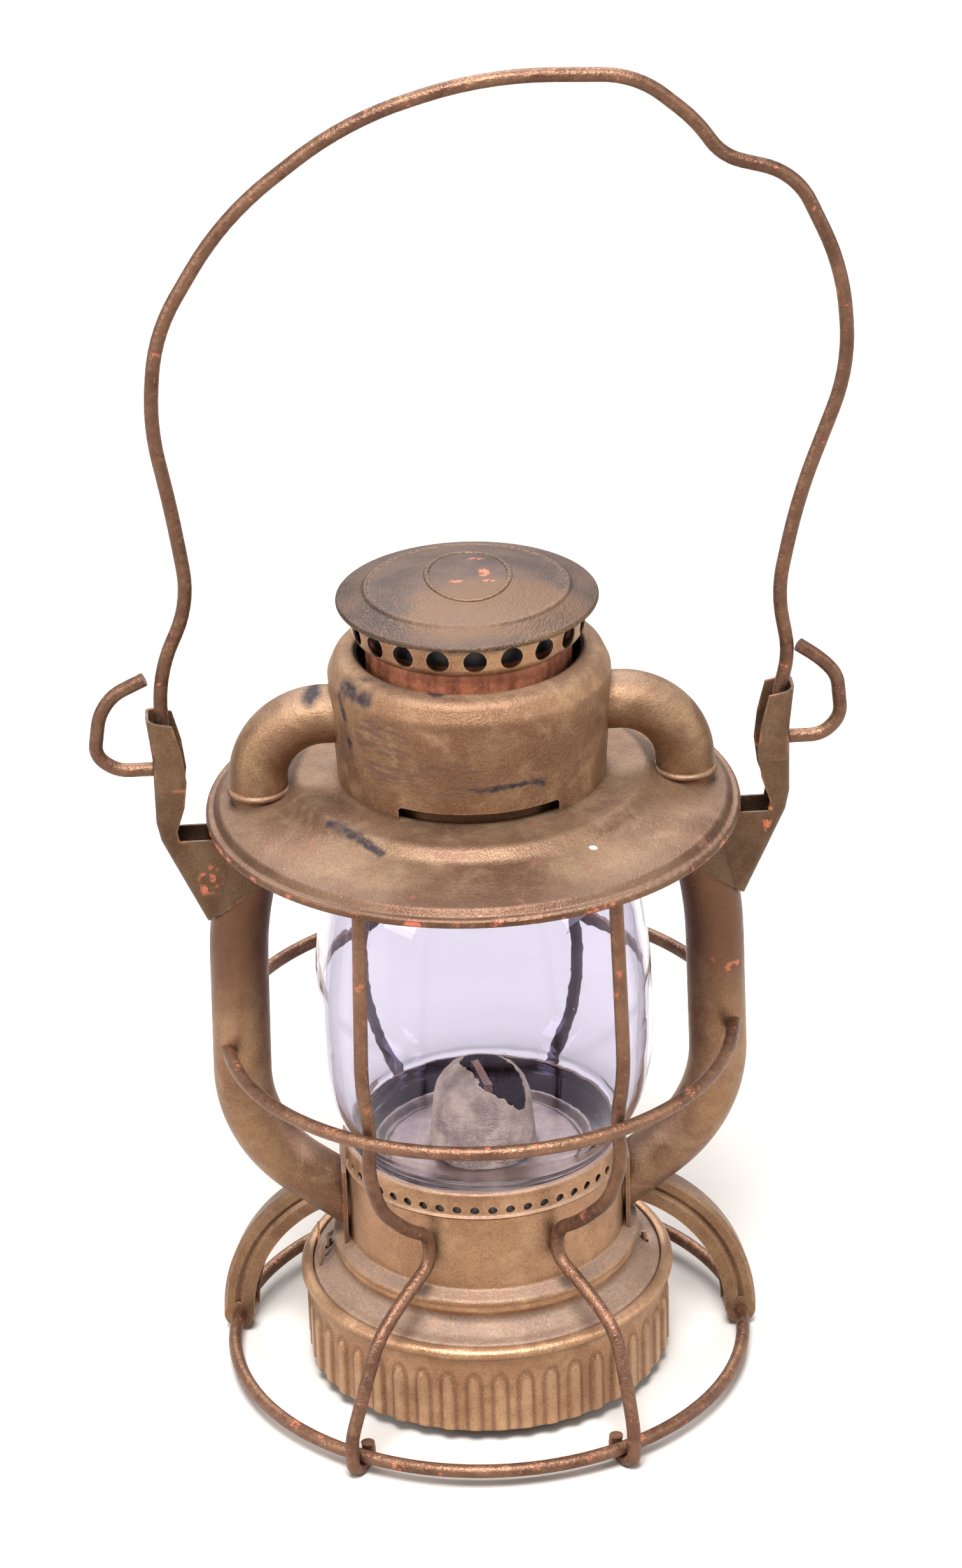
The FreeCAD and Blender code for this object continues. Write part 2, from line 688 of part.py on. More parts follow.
turned("globe_seat", [
    (size("collar_radius") - 7.2, size("globe_foot") - 3.0, None),
    (size("collar_radius") - 7.2, size("globe_foot"), None),
    (size("collar_radius") - 0.7, size("globe_foot"), None),
    (size("collar_radius") - 0.7, size("globe_foot") - 0.7, None),
    (size("collar_radius") - 6.5, size("globe_foot") - 0.7, None),
    (size("collar_radius") - 6.5, size("globe_foot") - 3.0, None),
])

globe_corners = [
    (size("globe_radius") - 17.4, size("globe_top"), None),
    (size("globe_radius") - 14.0, size("globe_top"), None),
    (size("globe_radius") - 14.0, size("globe_top") - 5.0, plain(4.0)),
    (size("globe_radius") - 2.6, size("globe_top") - 26.0, plain(40.0)),
    (size("globe_radius") + 0.2, size("globe_foot") + 48.0, plain(60.0)),
    (size("globe_radius") - 1.2, size("globe_foot") + 22.0, plain(20.0)),
    (size("globe_radius") - 12.4, size("globe_foot") + 11.2, plain(4.0)),
    (size("globe_radius") - 12.4, size("globe_foot") + 0.1, None),
    (size("globe_radius") - 15.2, size("globe_foot") + 0.1, None),
    (size("globe_radius") - 15.2, size("globe_foot") + 12.4, plain(6.0)),
    (size("globe_radius") - 4.0, size("globe_foot") + 23.6, plain(16.0)),
    (size("globe_radius") - 2.4, size("globe_foot") + 48.0, plain(56.0)),
    (size("globe_radius") - 5.4, size("globe_top") - 27.0, plain(36.0)),
    (size("globe_radius") - 17.4, size("globe_top") - 5.6, plain(3.0)),
]
globe = turned("globe", globe_corners)
globe.setExpression("Placement.Base.x", "Sizes.globe_offset")

# ---------------------------------------------------------------- catch spring, latch strip, tabs

CATCH_RADIUS = 49.6
CATCH_WIRE = 0.8
CATCH_HOLE = 1.4
CATCH_ENDS = (172, 360)
spring_z = val("shoulder_height") - 3.2
catch = rod(Part.Wire([Part.makeCircle(CATCH_RADIUS, Vec(0, 0, spring_z), UP, *CATCH_ENDS)]), CATCH_WIRE)
bell_drilled = bell_cut.Shape
for angle in CATCH_ENDS:
    turn = math.radians(angle)
    foot = Vec(CATCH_RADIUS * math.cos(turn), CATCH_RADIUS * math.sin(turn), spring_z)
    catch = catch.fuse(Part.makeCylinder(CATCH_WIRE, 7.0, foot, UP)).fuse(Part.makeSphere(CATCH_WIRE, foot))
    bell_drilled = bell_drilled.cut(Part.makeCylinder(CATCH_HOLE, 9, foot + UP, UP))
placed_shape("catch_spring", catch.removeSplitter())
bell_final = placed_shape("bell_pressing", bell_drilled)

strip = Part.makeBox(0.8, 3.4, 14.0, Vec(-52.8, -3.2, val("shoulder_height") - 0.05))
placed_shape("latch_strip", strip)



def bayonet_ring(label, pairs):
    """An outline turned through the bayonet's arc, once for each place round the bell."""
    pieces = []
    for index in range(BAYONETS):
        piece = revolved(pairs, BAYONET_ARC)
        piece.rotate(Vec(0, 0, 0), UP, index * 360.0 / BAYONETS + BAYONET_TURN - BAYONET_ARC / 2)
        pieces.append(piece)
    placed_shape(label, Part.makeCompound(pieces))


bayonet_ring("retaining_tabs", [(50.2, 28.2), (53.7, 28.2), (53.7, 29.0), (50.2, 29.0)])

# ================================================================ the chimney

cap_corners = [
    (NONE, size("cap_height"), None),
    (size("cap_radius") - 25.0, size("cap_height") - 0.7, plain(90.0)),
    (size("cap_radius") - 10.0, size("cap_height") - 3.5, None),
    (size("cap_radius") - 9.2, size("cap_height") - 3.1, plain(0.9)),
    (size("cap_radius") - 8.0, size("cap_height") - 3.9, None),
    (size("cap_radius"), size("cap_rim_height") + 0.5, plain(0.9)),
    (size("cap_radius") - 0.6, size("cap_rim_height") - 0.6, None),
]
cap = turned("cap", sheet_outline(cap_corners, TIN))

vent_corners = [
    (size("vent_radius") - 1.2, size("cap_rim_height") - 0.2, None),
    (size("vent_radius") + 0.2, size("vent_hole_height") + 2.4, plain(6.0)),
    (size("vent_radius") - 0.8, size("vent_hole_height") - 4.0, plain(4.0)),
    (size("chimney_radius") + 0.6, size("vent_foot"), plain(0.9)),
    (size("chimney_radius"), size("vent_foot") + 1.4, None),
]
vent = turned("vent_band", sheet_outline(vent_corners, plain(0.6)))
hole = cut_through(vent, circle=(NONE, size("vent_hole_height"), size("vent_hole_radius")))
repeat_round(vent, hole, VENT_HOLES)

turned("chimney_tube", [
    (size("chimney_radius") - 0.6, size("chimney_foot"), None),
    (size("chimney_radius"), size("chimney_foot"), None),
    (size("chimney_radius"), size("cap_rim_height") - 2.0, None),
    (size("chimney_radius") - 0.6, size("cap_rim_height") - 2.0, None),
])
turned("globe_crown", sheet_outline([
    (size("chimney_radius"), size("chimney_foot") + 1.8, None),
    (size("chimney_radius") + 3.0, size("chimney_foot") + 1.8, plain(1.4)),
    (size("hood_opening") + 2.4, size("chimney_foot") + 1.0, plain(1.0)),
    (size("hood_opening") + 2.8, size("chimney_foot") - 3.0, None),
], plain(0.6)))

SPRING_PITCH = 9.0
SPRING_LENGTH = 45.0
SPRING_WIRE = 0.7
spring_radius = val("chimney_radius") + 1.9
spring_foot = val("chimney_foot") + 3.6
helix = Part.makeHelix(SPRING_PITCH, SPRING_LENGTH, spring_radius)
helix.translate(Vec(0, 0, spring_foot))
coil_section = Part.Wire([Part.makeCircle(SPRING_WIRE, Vec(spring_radius, 0, spring_foot), Vec(0, 1, 0))])
placed_shape("lift_spring", Part.Wire(helix.Edges).makePipeShell([coil_section], True, True))

# ================================================================ the fount and the burner

cup = turned("fount_cup", [
    (NONE, size("fount_foot") + 1.2, None),
    (NONE, size("fount_foot") + 2.0, None),
    (size("fount_radius") - 3.0, size("fount_foot") + 2.0, None),
    (size("fount_radius") - 0.8, size("fount_foot") + 2.6, None),
    (size("fount_radius") - 0.8, size("fount_rim_height") - 0.8, None),
    (size("shoulder_radius") + 0.35, size("fount_rim_height") - 0.4, None),
    (size("shoulder_radius") + 0.35, size("fount_rim_height") + 0.4, None),
    (size("fount_radius") - 0.6, size("fount_rim_height") + 1.2, None),
    (size("fount_radius") + 0.4, size("fount_rim_height") + 1.7, plain(0.7)),
    (size("fount_radius") + 2.3, size("fount_rim_height") + 1.0, plain(1.0)),
    (size("fount_radius") + 2.3, size("fount_rim_height") - 1.6, plain(1.0)),
    (size("fount_radius"), size("fount_rim_height") - 2.2, plain(0.6)),
    (size("fount_radius"), size("fount_foot") + 0.6, None),
    (size("fount_radius") - 0.8, size("fount_foot"), None),
    (size("fount_radius") - 3.0, size("fount_foot") + 1.2, None),
])
RIB_PROUD = 1.25
RIB_LENGTH = 18.0
rib_sketch = new_sketch(cup, "XY_Plane")
rib_crest = size("fount_radius") + RIB_PROUD
rib_root = size("fount_radius") - 0.5
add_outline(rib_sketch, [
    (rib_root, Size("-Sizes.rib_half_width", -val("rib_half_width")), None),
    (rib_crest, plain(-1.5), size("rib_round")),
    (rib_crest, plain(1.5), size("rib_round")),
    (rib_root, size("rib_half_width"), None),
])
rib_sketch.AttachmentOffset = FreeCAD.Placement(Vec(0, 0, val("fount_foot") + 0.8), FreeCAD.Rotation())
rib = cup.newObject("PartDesign::Pad", "fount_rib")
rib.Profile = rib_sketch
rib.Length = RIB_LENGTH
cup.Tip = rib
doc.recompute()
repeat_round(cup, rib, FOUNT_RIBS)

turned("fount_cover", [
    (size("burner_radius") - 3.0, size("cover_height") - 0.7, None),
    (size("burner_radius") - 3.0, size("cover_height"), None),
    (size("fount_radius") - 0.8, size("cover_height"), None),
    (size("fount_radius") - 0.8, size("cover_height") - 0.7, None),
])

bayonet_ring("bayonet_lugs", [(46.0, 27.4), (47.0, 27.4), (47.0, 29.4), (53.4, 29.4), (53.4, 30.2), (46.0, 30.2)])

FILLER_RADIUS = 6.0
FILLER_HEIGHT = 4.0
filler = Part.makeCylinder(FILLER_RADIUS, FILLER_HEIGHT, Vec(-32, 12, val("cover_height")), UP)
filler = filler.makeFillet(1.0, [filler.Edges[0]])
placed_shape("filler_cap", filler)

turned("burner_body", [
    (size("burner_radius") - 1.0, size("cover_height"), None),
    (size("burner_radius"), size("cover_height"), None),
    (size("burner_radius"), size("deck_height") - 4.0, plain(3.0)),
    (size("burner_radius") + 6.0, size("deck_height") - 0.8, None),
    (size("burner_radius") + 4.6, size("deck_height") - 0.8, None),
    (size("burner_radius") - 1.0, size("deck_height") - 4.0, plain(3.0)),
])
turned("burner_deck", [
    (size("cone_radius") - 1.0, size("deck_height") - 0.8, None),
    (size("cone_radius") - 1.0, size("deck_height"), None),
    (size("collar_radius") - 10.4, size("deck_height"), None),
    (size("collar_radius") - 9.8, size("deck_height") - 2.2, None),
    (size("collar_radius") - 8.4, size("deck_height") - 2.2, None),
    (size("collar_radius") - 8.4, size("deck_height") - 3.0, None),
    (size("collar_radius") - 10.4, size("deck_height") - 3.0, None),
    (size("collar_radius") - 11.0, size("deck_height") - 0.8, None),
])
cone = turned("burner_cone", sheet_outline([
    (NONE, size("cone_height"), None),
    (size("cone_radius") - 4.6, size("cone_height") - 1.2, plain(7.0)),
    (size("cone_radius") - 0.8, size("deck_height") + 12.0, plain(14.0)),
    (size("cone_radius"), size("deck_height") + 0.1, None),
], plain(0.7)))


def turned_with_burner(shape):
    shape.rotate(Vec(0, 0, 0), UP, val("burner_turn"))
    return shape


WICK_W = val("wick_width")
WICK_T = val("wick_thickness")
SHAFT_Z = val("shaft_height")
WICK_FOOT = 12.0
WICK_GAP = 0.4
WICK_SHOWN = 7.0
TUBE_SKIN = 0.6
TUBE_FOOT = 24.0
SPUR_GAP = 0.3
SLOT_WIDE = 7.6
SLOT_LONG = 23.0
SLOT_DEEP = 6.0


def burner_block(wide, along, low, high):
    """An upright block round the lantern's axis."""
    return Part.makeBox(wide, along, high - low, Vec(-wide / 2, -along / 2, low))


slot = burner_block(SLOT_WIDE, SLOT_LONG, val("cone_height") - SLOT_DEEP, val("cone_height") + SLOT_DEEP)
cone_final = placed_shape("burner_cone_slotted", cone.Shape.cut(turned_with_burner(slot)))

bore_wide = WICK_T + 2 * WICK_GAP
bore_long = WICK_W + 2 * WICK_GAP
tube_top = val("wick_top") - WICK_SHOWN
bore = burner_block(bore_wide, bore_long, TUBE_FOOT - 4.0, tube_top + 4.0)
skin = burner_block(bore_wide + 2 * TUBE_SKIN, bore_long + 2 * TUBE_SKIN, TUBE_FOOT, tube_top)
spur_window = Part.makeBox(8.0, 14.0, 12.0, Vec(WICK_T / 2, -7.0, SHAFT_Z - 6.0))
placed_shape("wick_tube", turned_with_burner(skin.cut(bore).cut(spur_window)))
placed_shape("wick", turned_with_burner(burner_block(WICK_T, WICK_W, WICK_FOOT, val("wick_top"))))

ALONG = Vec(0, 1, 0)
SHAFT_START = -9.0
SHAFT_LENGTH = 66.0
spur_x = WICK_T / 2 + SPUR_GAP + val("spur_radius")
shaft = Part.makeCylinder(val("shaft_radius"), SHAFT_LENGTH, Vec(spur_x, SHAFT_START, SHAFT_Z), ALONG)
placed_shape("wick_shaft", turned_with_burner(shaft.copy()))


def toothed_wheel(tip, root, width, teeth, start_y):
    """A flat wheel with pointed teeth, bored for the shaft."""
    corners = []
    for index in range(2 * teeth):
        reach = tip if index % 2 == 0 else root
        turn = math.pi * index / teeth
        corners.append(Vec(spur_x + reach * math.cos(turn), start_y, SHAFT_Z + reach * math.sin(turn)))
    wheel = Part.Face(Part.makePolygon(corners + corners[:1])).extrude(Vec(0, width, 0))
    return wheel.cut(shaft)


SPUR_TEETH = 12
SPUR_TOOTH = 1.3
SPUR_WIDTH = 1.2
SPUR_STARTS = (-5.6, 4.4)
KNURLS = 26
KNURL = 0.6
THUMB_WIDTH = 2.2
THUMB_START = 53.0
spur = val("spur_radius")
spurs = [toothed_wheel(spur, spur - SPUR_TOOTH, SPUR_WIDTH, SPUR_TEETH, start) for start in SPUR_STARTS]
placed_shape("spur_wheels", turned_with_burner(Part.makeCompound(spurs)))
thumb = val("thumb_radius")
thumb_wheel = toothed_wheel(thumb, thumb - KNURL, THUMB_WIDTH, KNURLS, THUMB_START)
placed_shape("thumb_wheel", turned_with_burner(thumb_wheel))

burner_body = doc.getObject("burner_body")
SHAFT_CLEARANCE = 0.06
shaft_bore = Part.makeCylinder(val("shaft_radius") + SHAFT_CLEARANCE, 80.0, Vec(spur_x, -20.0, SHAFT_Z), ALONG)
placed_shape("burner_body_bored", burner_body.Shape.cut(turned_with_burner(shaft_bore)))

# ================================================================ the bail
# One wire: a hook outside each ear, the pivot through the ear, a leg in the channel and the bow.

LEG_X = val("bail_leg_x")
bow = [(-LEG_X, PIVOT_Z), (-91.6, 240), (-81.4, 262), (-85.2, 292), (-90.0, 318), (-87.0, 346),
       (-66.0, 380), (-30.0, 407), (10, 418.4), (52, 416.6), (68.6, 402.4), (76.0, 391.4), (97.0, 385.6),
       (110.6, 356), (112.6, 326), (97.8, 286), (91.6, 256), (95.2, 236), (LEG_X, 222), (LEG_X, PIVOT_Z)]
left_hook = [(-96.0, 238.0), (-105.6, 233.4), (-110.0, 227), (-112.0, 213.8), (-105.6, PIVOT_Z)]
right_hook = [(105.2, PIVOT_Z), (110.8, 214.4), (109.6, 228), (104.6, 233.6), (98.0, 238.4)]
PIVOT_BEND = 2.6
bail_points = in_xz(left_hook + bow + right_hook)
bail_radii = soft_radii(bail_points)
for index, point in enumerate(bail_points[1:-1]):
    if abs(point.z - PIVOT_Z) < 0.01 and abs(abs(point.x) - LEG_X) < 0.01:
        bail_radii[index] = PIVOT_BEND
placed_shape("bail", rod(bent_path(bail_points, bail_radii), WIRE))

# ================================================================ check and write

doc.recompute()
RENAMED = {"bell": bell_final, "burner_cone": cone_final,
           "burner_body": doc.getObject("burner_body_bored")}
HELPERS = {"wick_slot_tool", "bell_slotted"}


def finished_parts():
    """Each sub-part by its node name."""
    parts = {}
    for obj in doc.Objects:
        if obj.TypeId not in ("PartDesign::Body", "Part::Feature", "Part::Torus", "Part::Cut"):
            continue
        if obj.Name in HELPERS or obj in RENAMED.values():
            continue
        parts[obj.Label] = obj
    for name, obj in RENAMED.items():
        parts[name] = obj
    return parts


for obj in doc.Objects:
    if "Invalid" in obj.State or "Error" in obj.State:
        raise RuntimeError("%s is in state %s" % (obj.Name, obj.State))
os.makedirs("parts", exist_ok=True)
for name, obj in sorted(finished_parts().items()):
    shape = obj.Shape
    if shape.isNull() or not shape.isValid() or not shape.Solids:
        raise RuntimeError(name + " has no valid solid")
    shape.exportStep("parts/%s.step" % name)
    print("%-24s solids %d  volume %9.1f" % (name, len(shape.Solids), shape.Volume))
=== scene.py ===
import json
import math

import bmesh
import bpy
from mathutils import Matrix, Vector, bvhtree, noise

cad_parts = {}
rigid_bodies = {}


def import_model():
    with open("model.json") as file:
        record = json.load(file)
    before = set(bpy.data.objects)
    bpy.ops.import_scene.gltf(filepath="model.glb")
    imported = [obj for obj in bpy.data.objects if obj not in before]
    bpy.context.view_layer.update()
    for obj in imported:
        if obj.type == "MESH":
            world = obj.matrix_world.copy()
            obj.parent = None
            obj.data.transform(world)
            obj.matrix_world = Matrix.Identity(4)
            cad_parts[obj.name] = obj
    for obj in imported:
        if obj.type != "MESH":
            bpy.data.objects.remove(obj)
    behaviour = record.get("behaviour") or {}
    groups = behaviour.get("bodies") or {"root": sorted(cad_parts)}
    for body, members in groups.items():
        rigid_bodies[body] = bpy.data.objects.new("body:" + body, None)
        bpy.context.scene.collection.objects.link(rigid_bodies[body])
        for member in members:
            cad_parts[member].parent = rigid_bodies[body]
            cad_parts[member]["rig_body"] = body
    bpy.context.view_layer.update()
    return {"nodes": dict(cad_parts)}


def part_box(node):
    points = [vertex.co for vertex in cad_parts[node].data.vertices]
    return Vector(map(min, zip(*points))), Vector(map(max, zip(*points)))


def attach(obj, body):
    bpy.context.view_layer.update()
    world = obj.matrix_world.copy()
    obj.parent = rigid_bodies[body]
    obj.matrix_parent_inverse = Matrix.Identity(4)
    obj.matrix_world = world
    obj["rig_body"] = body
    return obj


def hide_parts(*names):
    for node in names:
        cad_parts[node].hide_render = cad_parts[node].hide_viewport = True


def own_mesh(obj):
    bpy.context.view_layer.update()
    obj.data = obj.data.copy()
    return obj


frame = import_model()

NODES = frame["nodes"]
scene = bpy.context.scene
scene.view_settings.view_transform = "Standard"

# ---------------------------------------------------------------- camera, floor and light

CAMERA_PLACE = Vector((-0.0665, -1.3119, 0.8459))
CAMERA_YAW = 0.05255
CAMERA_PITCH = 0.4583
CAMERA_ROLL = -0.0294
CAMERA_LENS = 112.35


def make_camera():
    """The camera at the photograph's place, looking down at the lantern from the front."""
    forward = Vector((math.sin(CAMERA_YAW) * math.cos(CAMERA_PITCH),
                      math.cos(CAMERA_YAW) * math.cos(CAMERA_PITCH),
                      -math.sin(CAMERA_PITCH)))
    right = forward.cross(Vector((0, 0, 1))).normalized()
    up = right.cross(forward)
    across = math.cos(CAMERA_ROLL) * right + math.sin(CAMERA_ROLL) * up
    along = math.cos(CAMERA_ROLL) * up - math.sin(CAMERA_ROLL) * right
    turned = Matrix((across, along, -forward)).transposed().to_4x4()
    data = bpy.data.cameras.new("camera")
    data.lens = CAMERA_LENS
    data.sensor_width = 36.0
    data.clip_start, data.clip_end = 0.05, 50
    camera = bpy.data.objects.new("camera", data)
    camera.matrix_world = Matrix.Translation(CAMERA_PLACE) @ turned
    scene.collection.objects.link(camera)
    scene.camera = camera


def make_light(name, place, target, width, power):
    """A square softbox that faces the target."""
    data = bpy.data.lights.new(name, "AREA")
    data.size = width
    data.energy = power
    light = bpy.data.objects.new(name, data)
    light.location = place
    light.rotation_mode = "QUATERNION"
    light.rotation_quaternion = (Vector(target) - Vector(place)).to_track_quat("-Z", "Y")
    scene.collection.objects.link(light)


MIDDLE = (0, 0, 0.15)
SKY_COLOUR = (0.985, 0.985, 1.0, 1)
SKY_STRENGTH = 0.58

make_camera()
make_light("key", (-0.15, -1.00, 2.00), MIDDLE, 0.8, 120)
make_light("behind", (0.0, 1.80, 2.30), (0, 1.3, 0), 1.6, 110)
make_light("left", (-1.6, -0.7, 0.9), MIDDLE, 0.8, 20)
make_light("right", (1.6, -0.5, 0.9), MIDDLE, 0.8, 16)
world = bpy.data.worlds.new("studio")
world.use_nodes = True
sky = world.node_tree.nodes["Background"]
sky.inputs["Color"].default_value = SKY_COLOUR
sky.inputs["Strength"].default_value = SKY_STRENGTH
scene.world = world

# ---------------------------------------------------------------- a short way to write materials


class Tree:
    """A material's node tree, written as nested calls. Lengths are in metres."""

    def __init__(self, name):
        self.material = bpy.data.materials.new(name)
        self.material.use_nodes = True
        self.nodes = self.material.node_tree.nodes
        self.links = self.material.node_tree.links
        self.nodes.clear()
        coordinates = self.nodes.new("ShaderNodeTexCoord")
        self.place = coordinates.outputs["Object"]
        self.facing = coordinates.outputs["Normal"]

    def node(self, kind, inputs=None, **settings):
        made = self.nodes.new("ShaderNode" + kind)
        for key, value in settings.items():
            setattr(made, key, value)
        for key, value in (inputs or {}).items():
            self.feed(made.inputs[key], value)
        return made

    def feed(self, socket, value):
        if isinstance(value, bpy.types.NodeSocket):
            self.links.new(value, socket)
        else:
            socket.default_value = value

    def maths(self, operation, first, second=0.0):
        return self.node("Math", {0: first, 1: second}, operation=operation).outputs[0]

    def times(self, *values):
        result = values[0]
        for value in values[1:]:
            result = self.maths("MULTIPLY", result, value)
        return result

    def most(self, *values):
        result = values[0]
        for value in values[1:]:
            result = self.maths("MAXIMUM", result, value)
        return result

    def band(self, value, low, high, start=0.0, end=1.0):
        """A smooth step from start to end as value goes from low to high."""
        return self.node("MapRange", {0: value, 1: low, 2: high, 3: start, 4: end},
                         interpolation_type="SMOOTHSTEP").outputs[0]

    def part(self, vector, axis):
        return self.node("SeparateXYZ", {0: vector}).outputs[axis]

    def moved(self, vector, shift=(0, 0, 0), scale=(1, 1, 1), turn=(0, 0, 0)):
        return self.node("Mapping", {"Vector": vector, "Location": shift, "Rotation": turn,
                                     "Scale": scale}).outputs[0]

    def noise(self, size, detail=3.0, rough=0.55, stretch=(1, 1, 1), seed=0.0, twist=0.0):
        """Noise whose features are about size across, longer where stretch is above 1."""
        scale = tuple(1 / s for s in stretch)
        where = self.moved(self.place, (seed, seed * 0.7, seed * 1.3), scale)
        return self.node("TexNoise", {"Vector": where, "Scale": 1 / size, "Detail": detail,
                                      "Roughness": rough, "Distortion": twist}).outputs[0]

    def mix(self, share, first, second):
        made = self.node("Mix", data_type="RGBA", clamp_factor=True)
        self.feed(made.inputs[0], share)
        self.feed(made.inputs[6], colour(first))
        self.feed(made.inputs[7], colour(second))
        return made.outputs[2]

    def blend(self, share, first, second):
        made = self.node("Mix", data_type="FLOAT", clamp_factor=True)
        self.feed(made.inputs[0], share)
        self.feed(made.inputs[2], first)
        self.feed(made.inputs[3], second)
        return made.outputs[0]

    def spot(self, centre, reach, ragged=0.35, seed=0.0):
        """1 at a centre, falling to 0 at a ragged edge; reach gives the half sizes along the axes."""
        wobble = self.node("TexNoise", {"Vector": self.moved(self.place, (seed, 0, 0)),
                                        "Scale": 1.3 / max(reach), "Detail": 4.0}).outputs[1]
        offset = self.node("VectorMath", {0: wobble, 1: (0.5, 0.5, 0.5)}, operation="SUBTRACT").outputs[0]
        offset = self.node("VectorMath", {0: offset, "Scale": ragged * 2}, operation="SCALE").outputs[0]
        where = self.node("VectorMath", {0: self.place, 1: centre}, operation="SUBTRACT").outputs[0]
        where = self.node("VectorMath", {0: where, 1: reach}, operation="DIVIDE").outputs[0]
        where = self.node("VectorMath", {0: where, 1: offset}, operation="ADD").outputs[0]
        far = self.node("VectorMath", {0: where}, operation="LENGTH").outputs["Value"]
        return self.band(far, 0.65, 1.0, 1.0, 0.0)

    def streak(self, start, end, width, ragged=0.6, seed=0.0):
        """1 along the line from start to end, falling to 0 at a ragged edge that far from it."""
        wobble = self.node("TexNoise", {"Vector": self.moved(self.place, (seed, 0, 0)),
                                        "Scale": 0.8 / width, "Detail": 4.0}).outputs[0]
        run = Vector(end) - Vector(start)
        where = self.node("VectorMath", {0: self.place, 1: start}, operation="SUBTRACT").outputs[0]
        along = self.node("VectorMath", {0: where, 1: tuple(run / run.length_squared)},
                          operation="DOT_PRODUCT").outputs["Value"]
        along = self.node("Clamp", {0: along}).outputs[0]
        nearest = self.node("VectorMath", {0: tuple(run), "Scale": along}, operation="SCALE").outputs[0]
        far = self.node("VectorMath", {0: where, 1: nearest}, operation="DISTANCE").outputs["Value"]
        far = self.maths("ADD", self.maths("DIVIDE", far, width), self.times(wobble, 2 * ragged))
        return self.band(far, ragged + 0.25, ragged + 0.95, 1.0, 0.0)

    def any_spot(self, spots, ragged=0.35):
        """The union of several spots, given as (centre, reach), or streaks, given as (start, end, width)."""
        return self.most(*[self.spot(*mark, ragged, seed=0.37 * i) if len(mark) == 2
                           else self.streak(*mark, seed=0.37 * i) for i, mark in enumerate(spots)])

    def beside_rib(self, count, top, radius):
        """How far a place is from the middle line of the nearest of the ribs that stand round the axis.
        Above a rib's top the distance grows more slowly, as its domed end does."""
        angle = self.maths("ARCTAN2", self.part(self.place, 1), self.part(self.place, 0))
        turns = self.maths("FRACT", self.maths("ADD", self.times(angle, count / (2 * math.pi)), count + 0.5))
        aside = self.times(self.maths("SUBTRACT", turns, 0.5), 2 * math.pi * radius / count)
        beyond = self.most(self.times(self.maths("SUBTRACT", self.part(self.place, 2), top), RIB_FADE), 0.0)
        far = self.maths("ADD", self.times(aside, aside), self.times(beyond, beyond))
        return self.maths("SQRT", far)

    def edges(self, radius):
        """1 along folded and cut edges, 0 on open sheet."""
        rounded = self.node("Bevel", {"Radius": radius}, samples=4).outputs[0]
        true = self.node("NewGeometry").outputs["Normal"]
        same = self.node("VectorMath", {0: rounded, 1: true}, operation="DOT_PRODUCT").outputs["Value"]
        return self.band(same, 0.985, 0.86, 0.0, 1.0)

    def corners(self, reach):
        """1 in tight corners, 0 in the open."""
        open_sky = self.node("AmbientOcclusion", {"Distance": reach}, samples=4).outputs["AO"]
        return self.band(open_sky, 0.85, 0.35, 0.0, 1.0)

    def outward(self, middle=None):
        """1 on faces that look away from the lantern's axis, or from a middle point, and 0 on the others."""
        if middle:
            flat = self.node("VectorMath", {0: self.place, 1: middle}, operation="SUBTRACT").outputs[0]
        else:
            flat = self.node("VectorMath", {0: self.place, 1: (1, 1, 0)}, operation="MULTIPLY").outputs[0]
        away = self.node("VectorMath", {0: flat}, operation="NORMALIZE").outputs[0]
        same = self.node("VectorMath", {0: away, 1: self.facing}, operation="DOT_PRODUCT").outputs["Value"]
        return self.band(same, -0.5, -0.3)

    def bump(self, height, depth, under=None):
        inputs = {"Height": height, "Distance": depth, "Strength": 1.0}
        if under is not None:
            inputs["Normal"] = under
        return self.node("Bump", inputs).outputs[0]

    def shade(self, **sockets):
        """The finished shader. Socket names are Principled's own, with _ for spaces."""
        shader = self.node("BsdfPrincipled")
        for key, value in sockets.items():
            name = key.replace("_", " ")
            self.feed(shader.inputs[name], colour(value) if "Color" in name or "Tint" in name else value)
        out = self.node("OutputMaterial")
        self.links.new(shader.outputs[0], out.inputs["Surface"])
        return self.material


def colour(value):
    """A colour of three numbers gets its fourth; anything else stays as it is."""
    if isinstance(value, tuple) and len(value) == 3:
        return (*value, 1.0)
    return value


GOLD = (0.264, 0.151, 0.081)
GOLD_DARK = (0.128, 0.057, 0.033)
GOLD_LIGHT = (0.415, 0.272, 0.160)
DUST = (0.150, 0.105, 0.082)
PRIMER = (0.360, 0.082, 0.034)
RUST = (0.105, 0.036, 0.021)
SOOT_AND_SHADE = (0.012, 0.010, 0.011)
STAIN = (0.009, 0.007, 0.011)
STAIN_GREY = (0.020, 0.016, 0.022)
WHITE_DOT = (0.420, 0.350, 0.310)
WHITE_MARK = (0.85, 0.84, 0.82)
RUST_BROWN = (0.155, 0.060, 0.038)
BRUSHED_BROWNS = ((0.060, 0.027, 0.018), (0.125, 0.056, 0.035))
SMOKED = (0.045, 0.030, 0.022)


def scaled(tone, share):
    """A colour made darker or lighter."""
    return tuple(min(1.0, share * value) for value in tone)


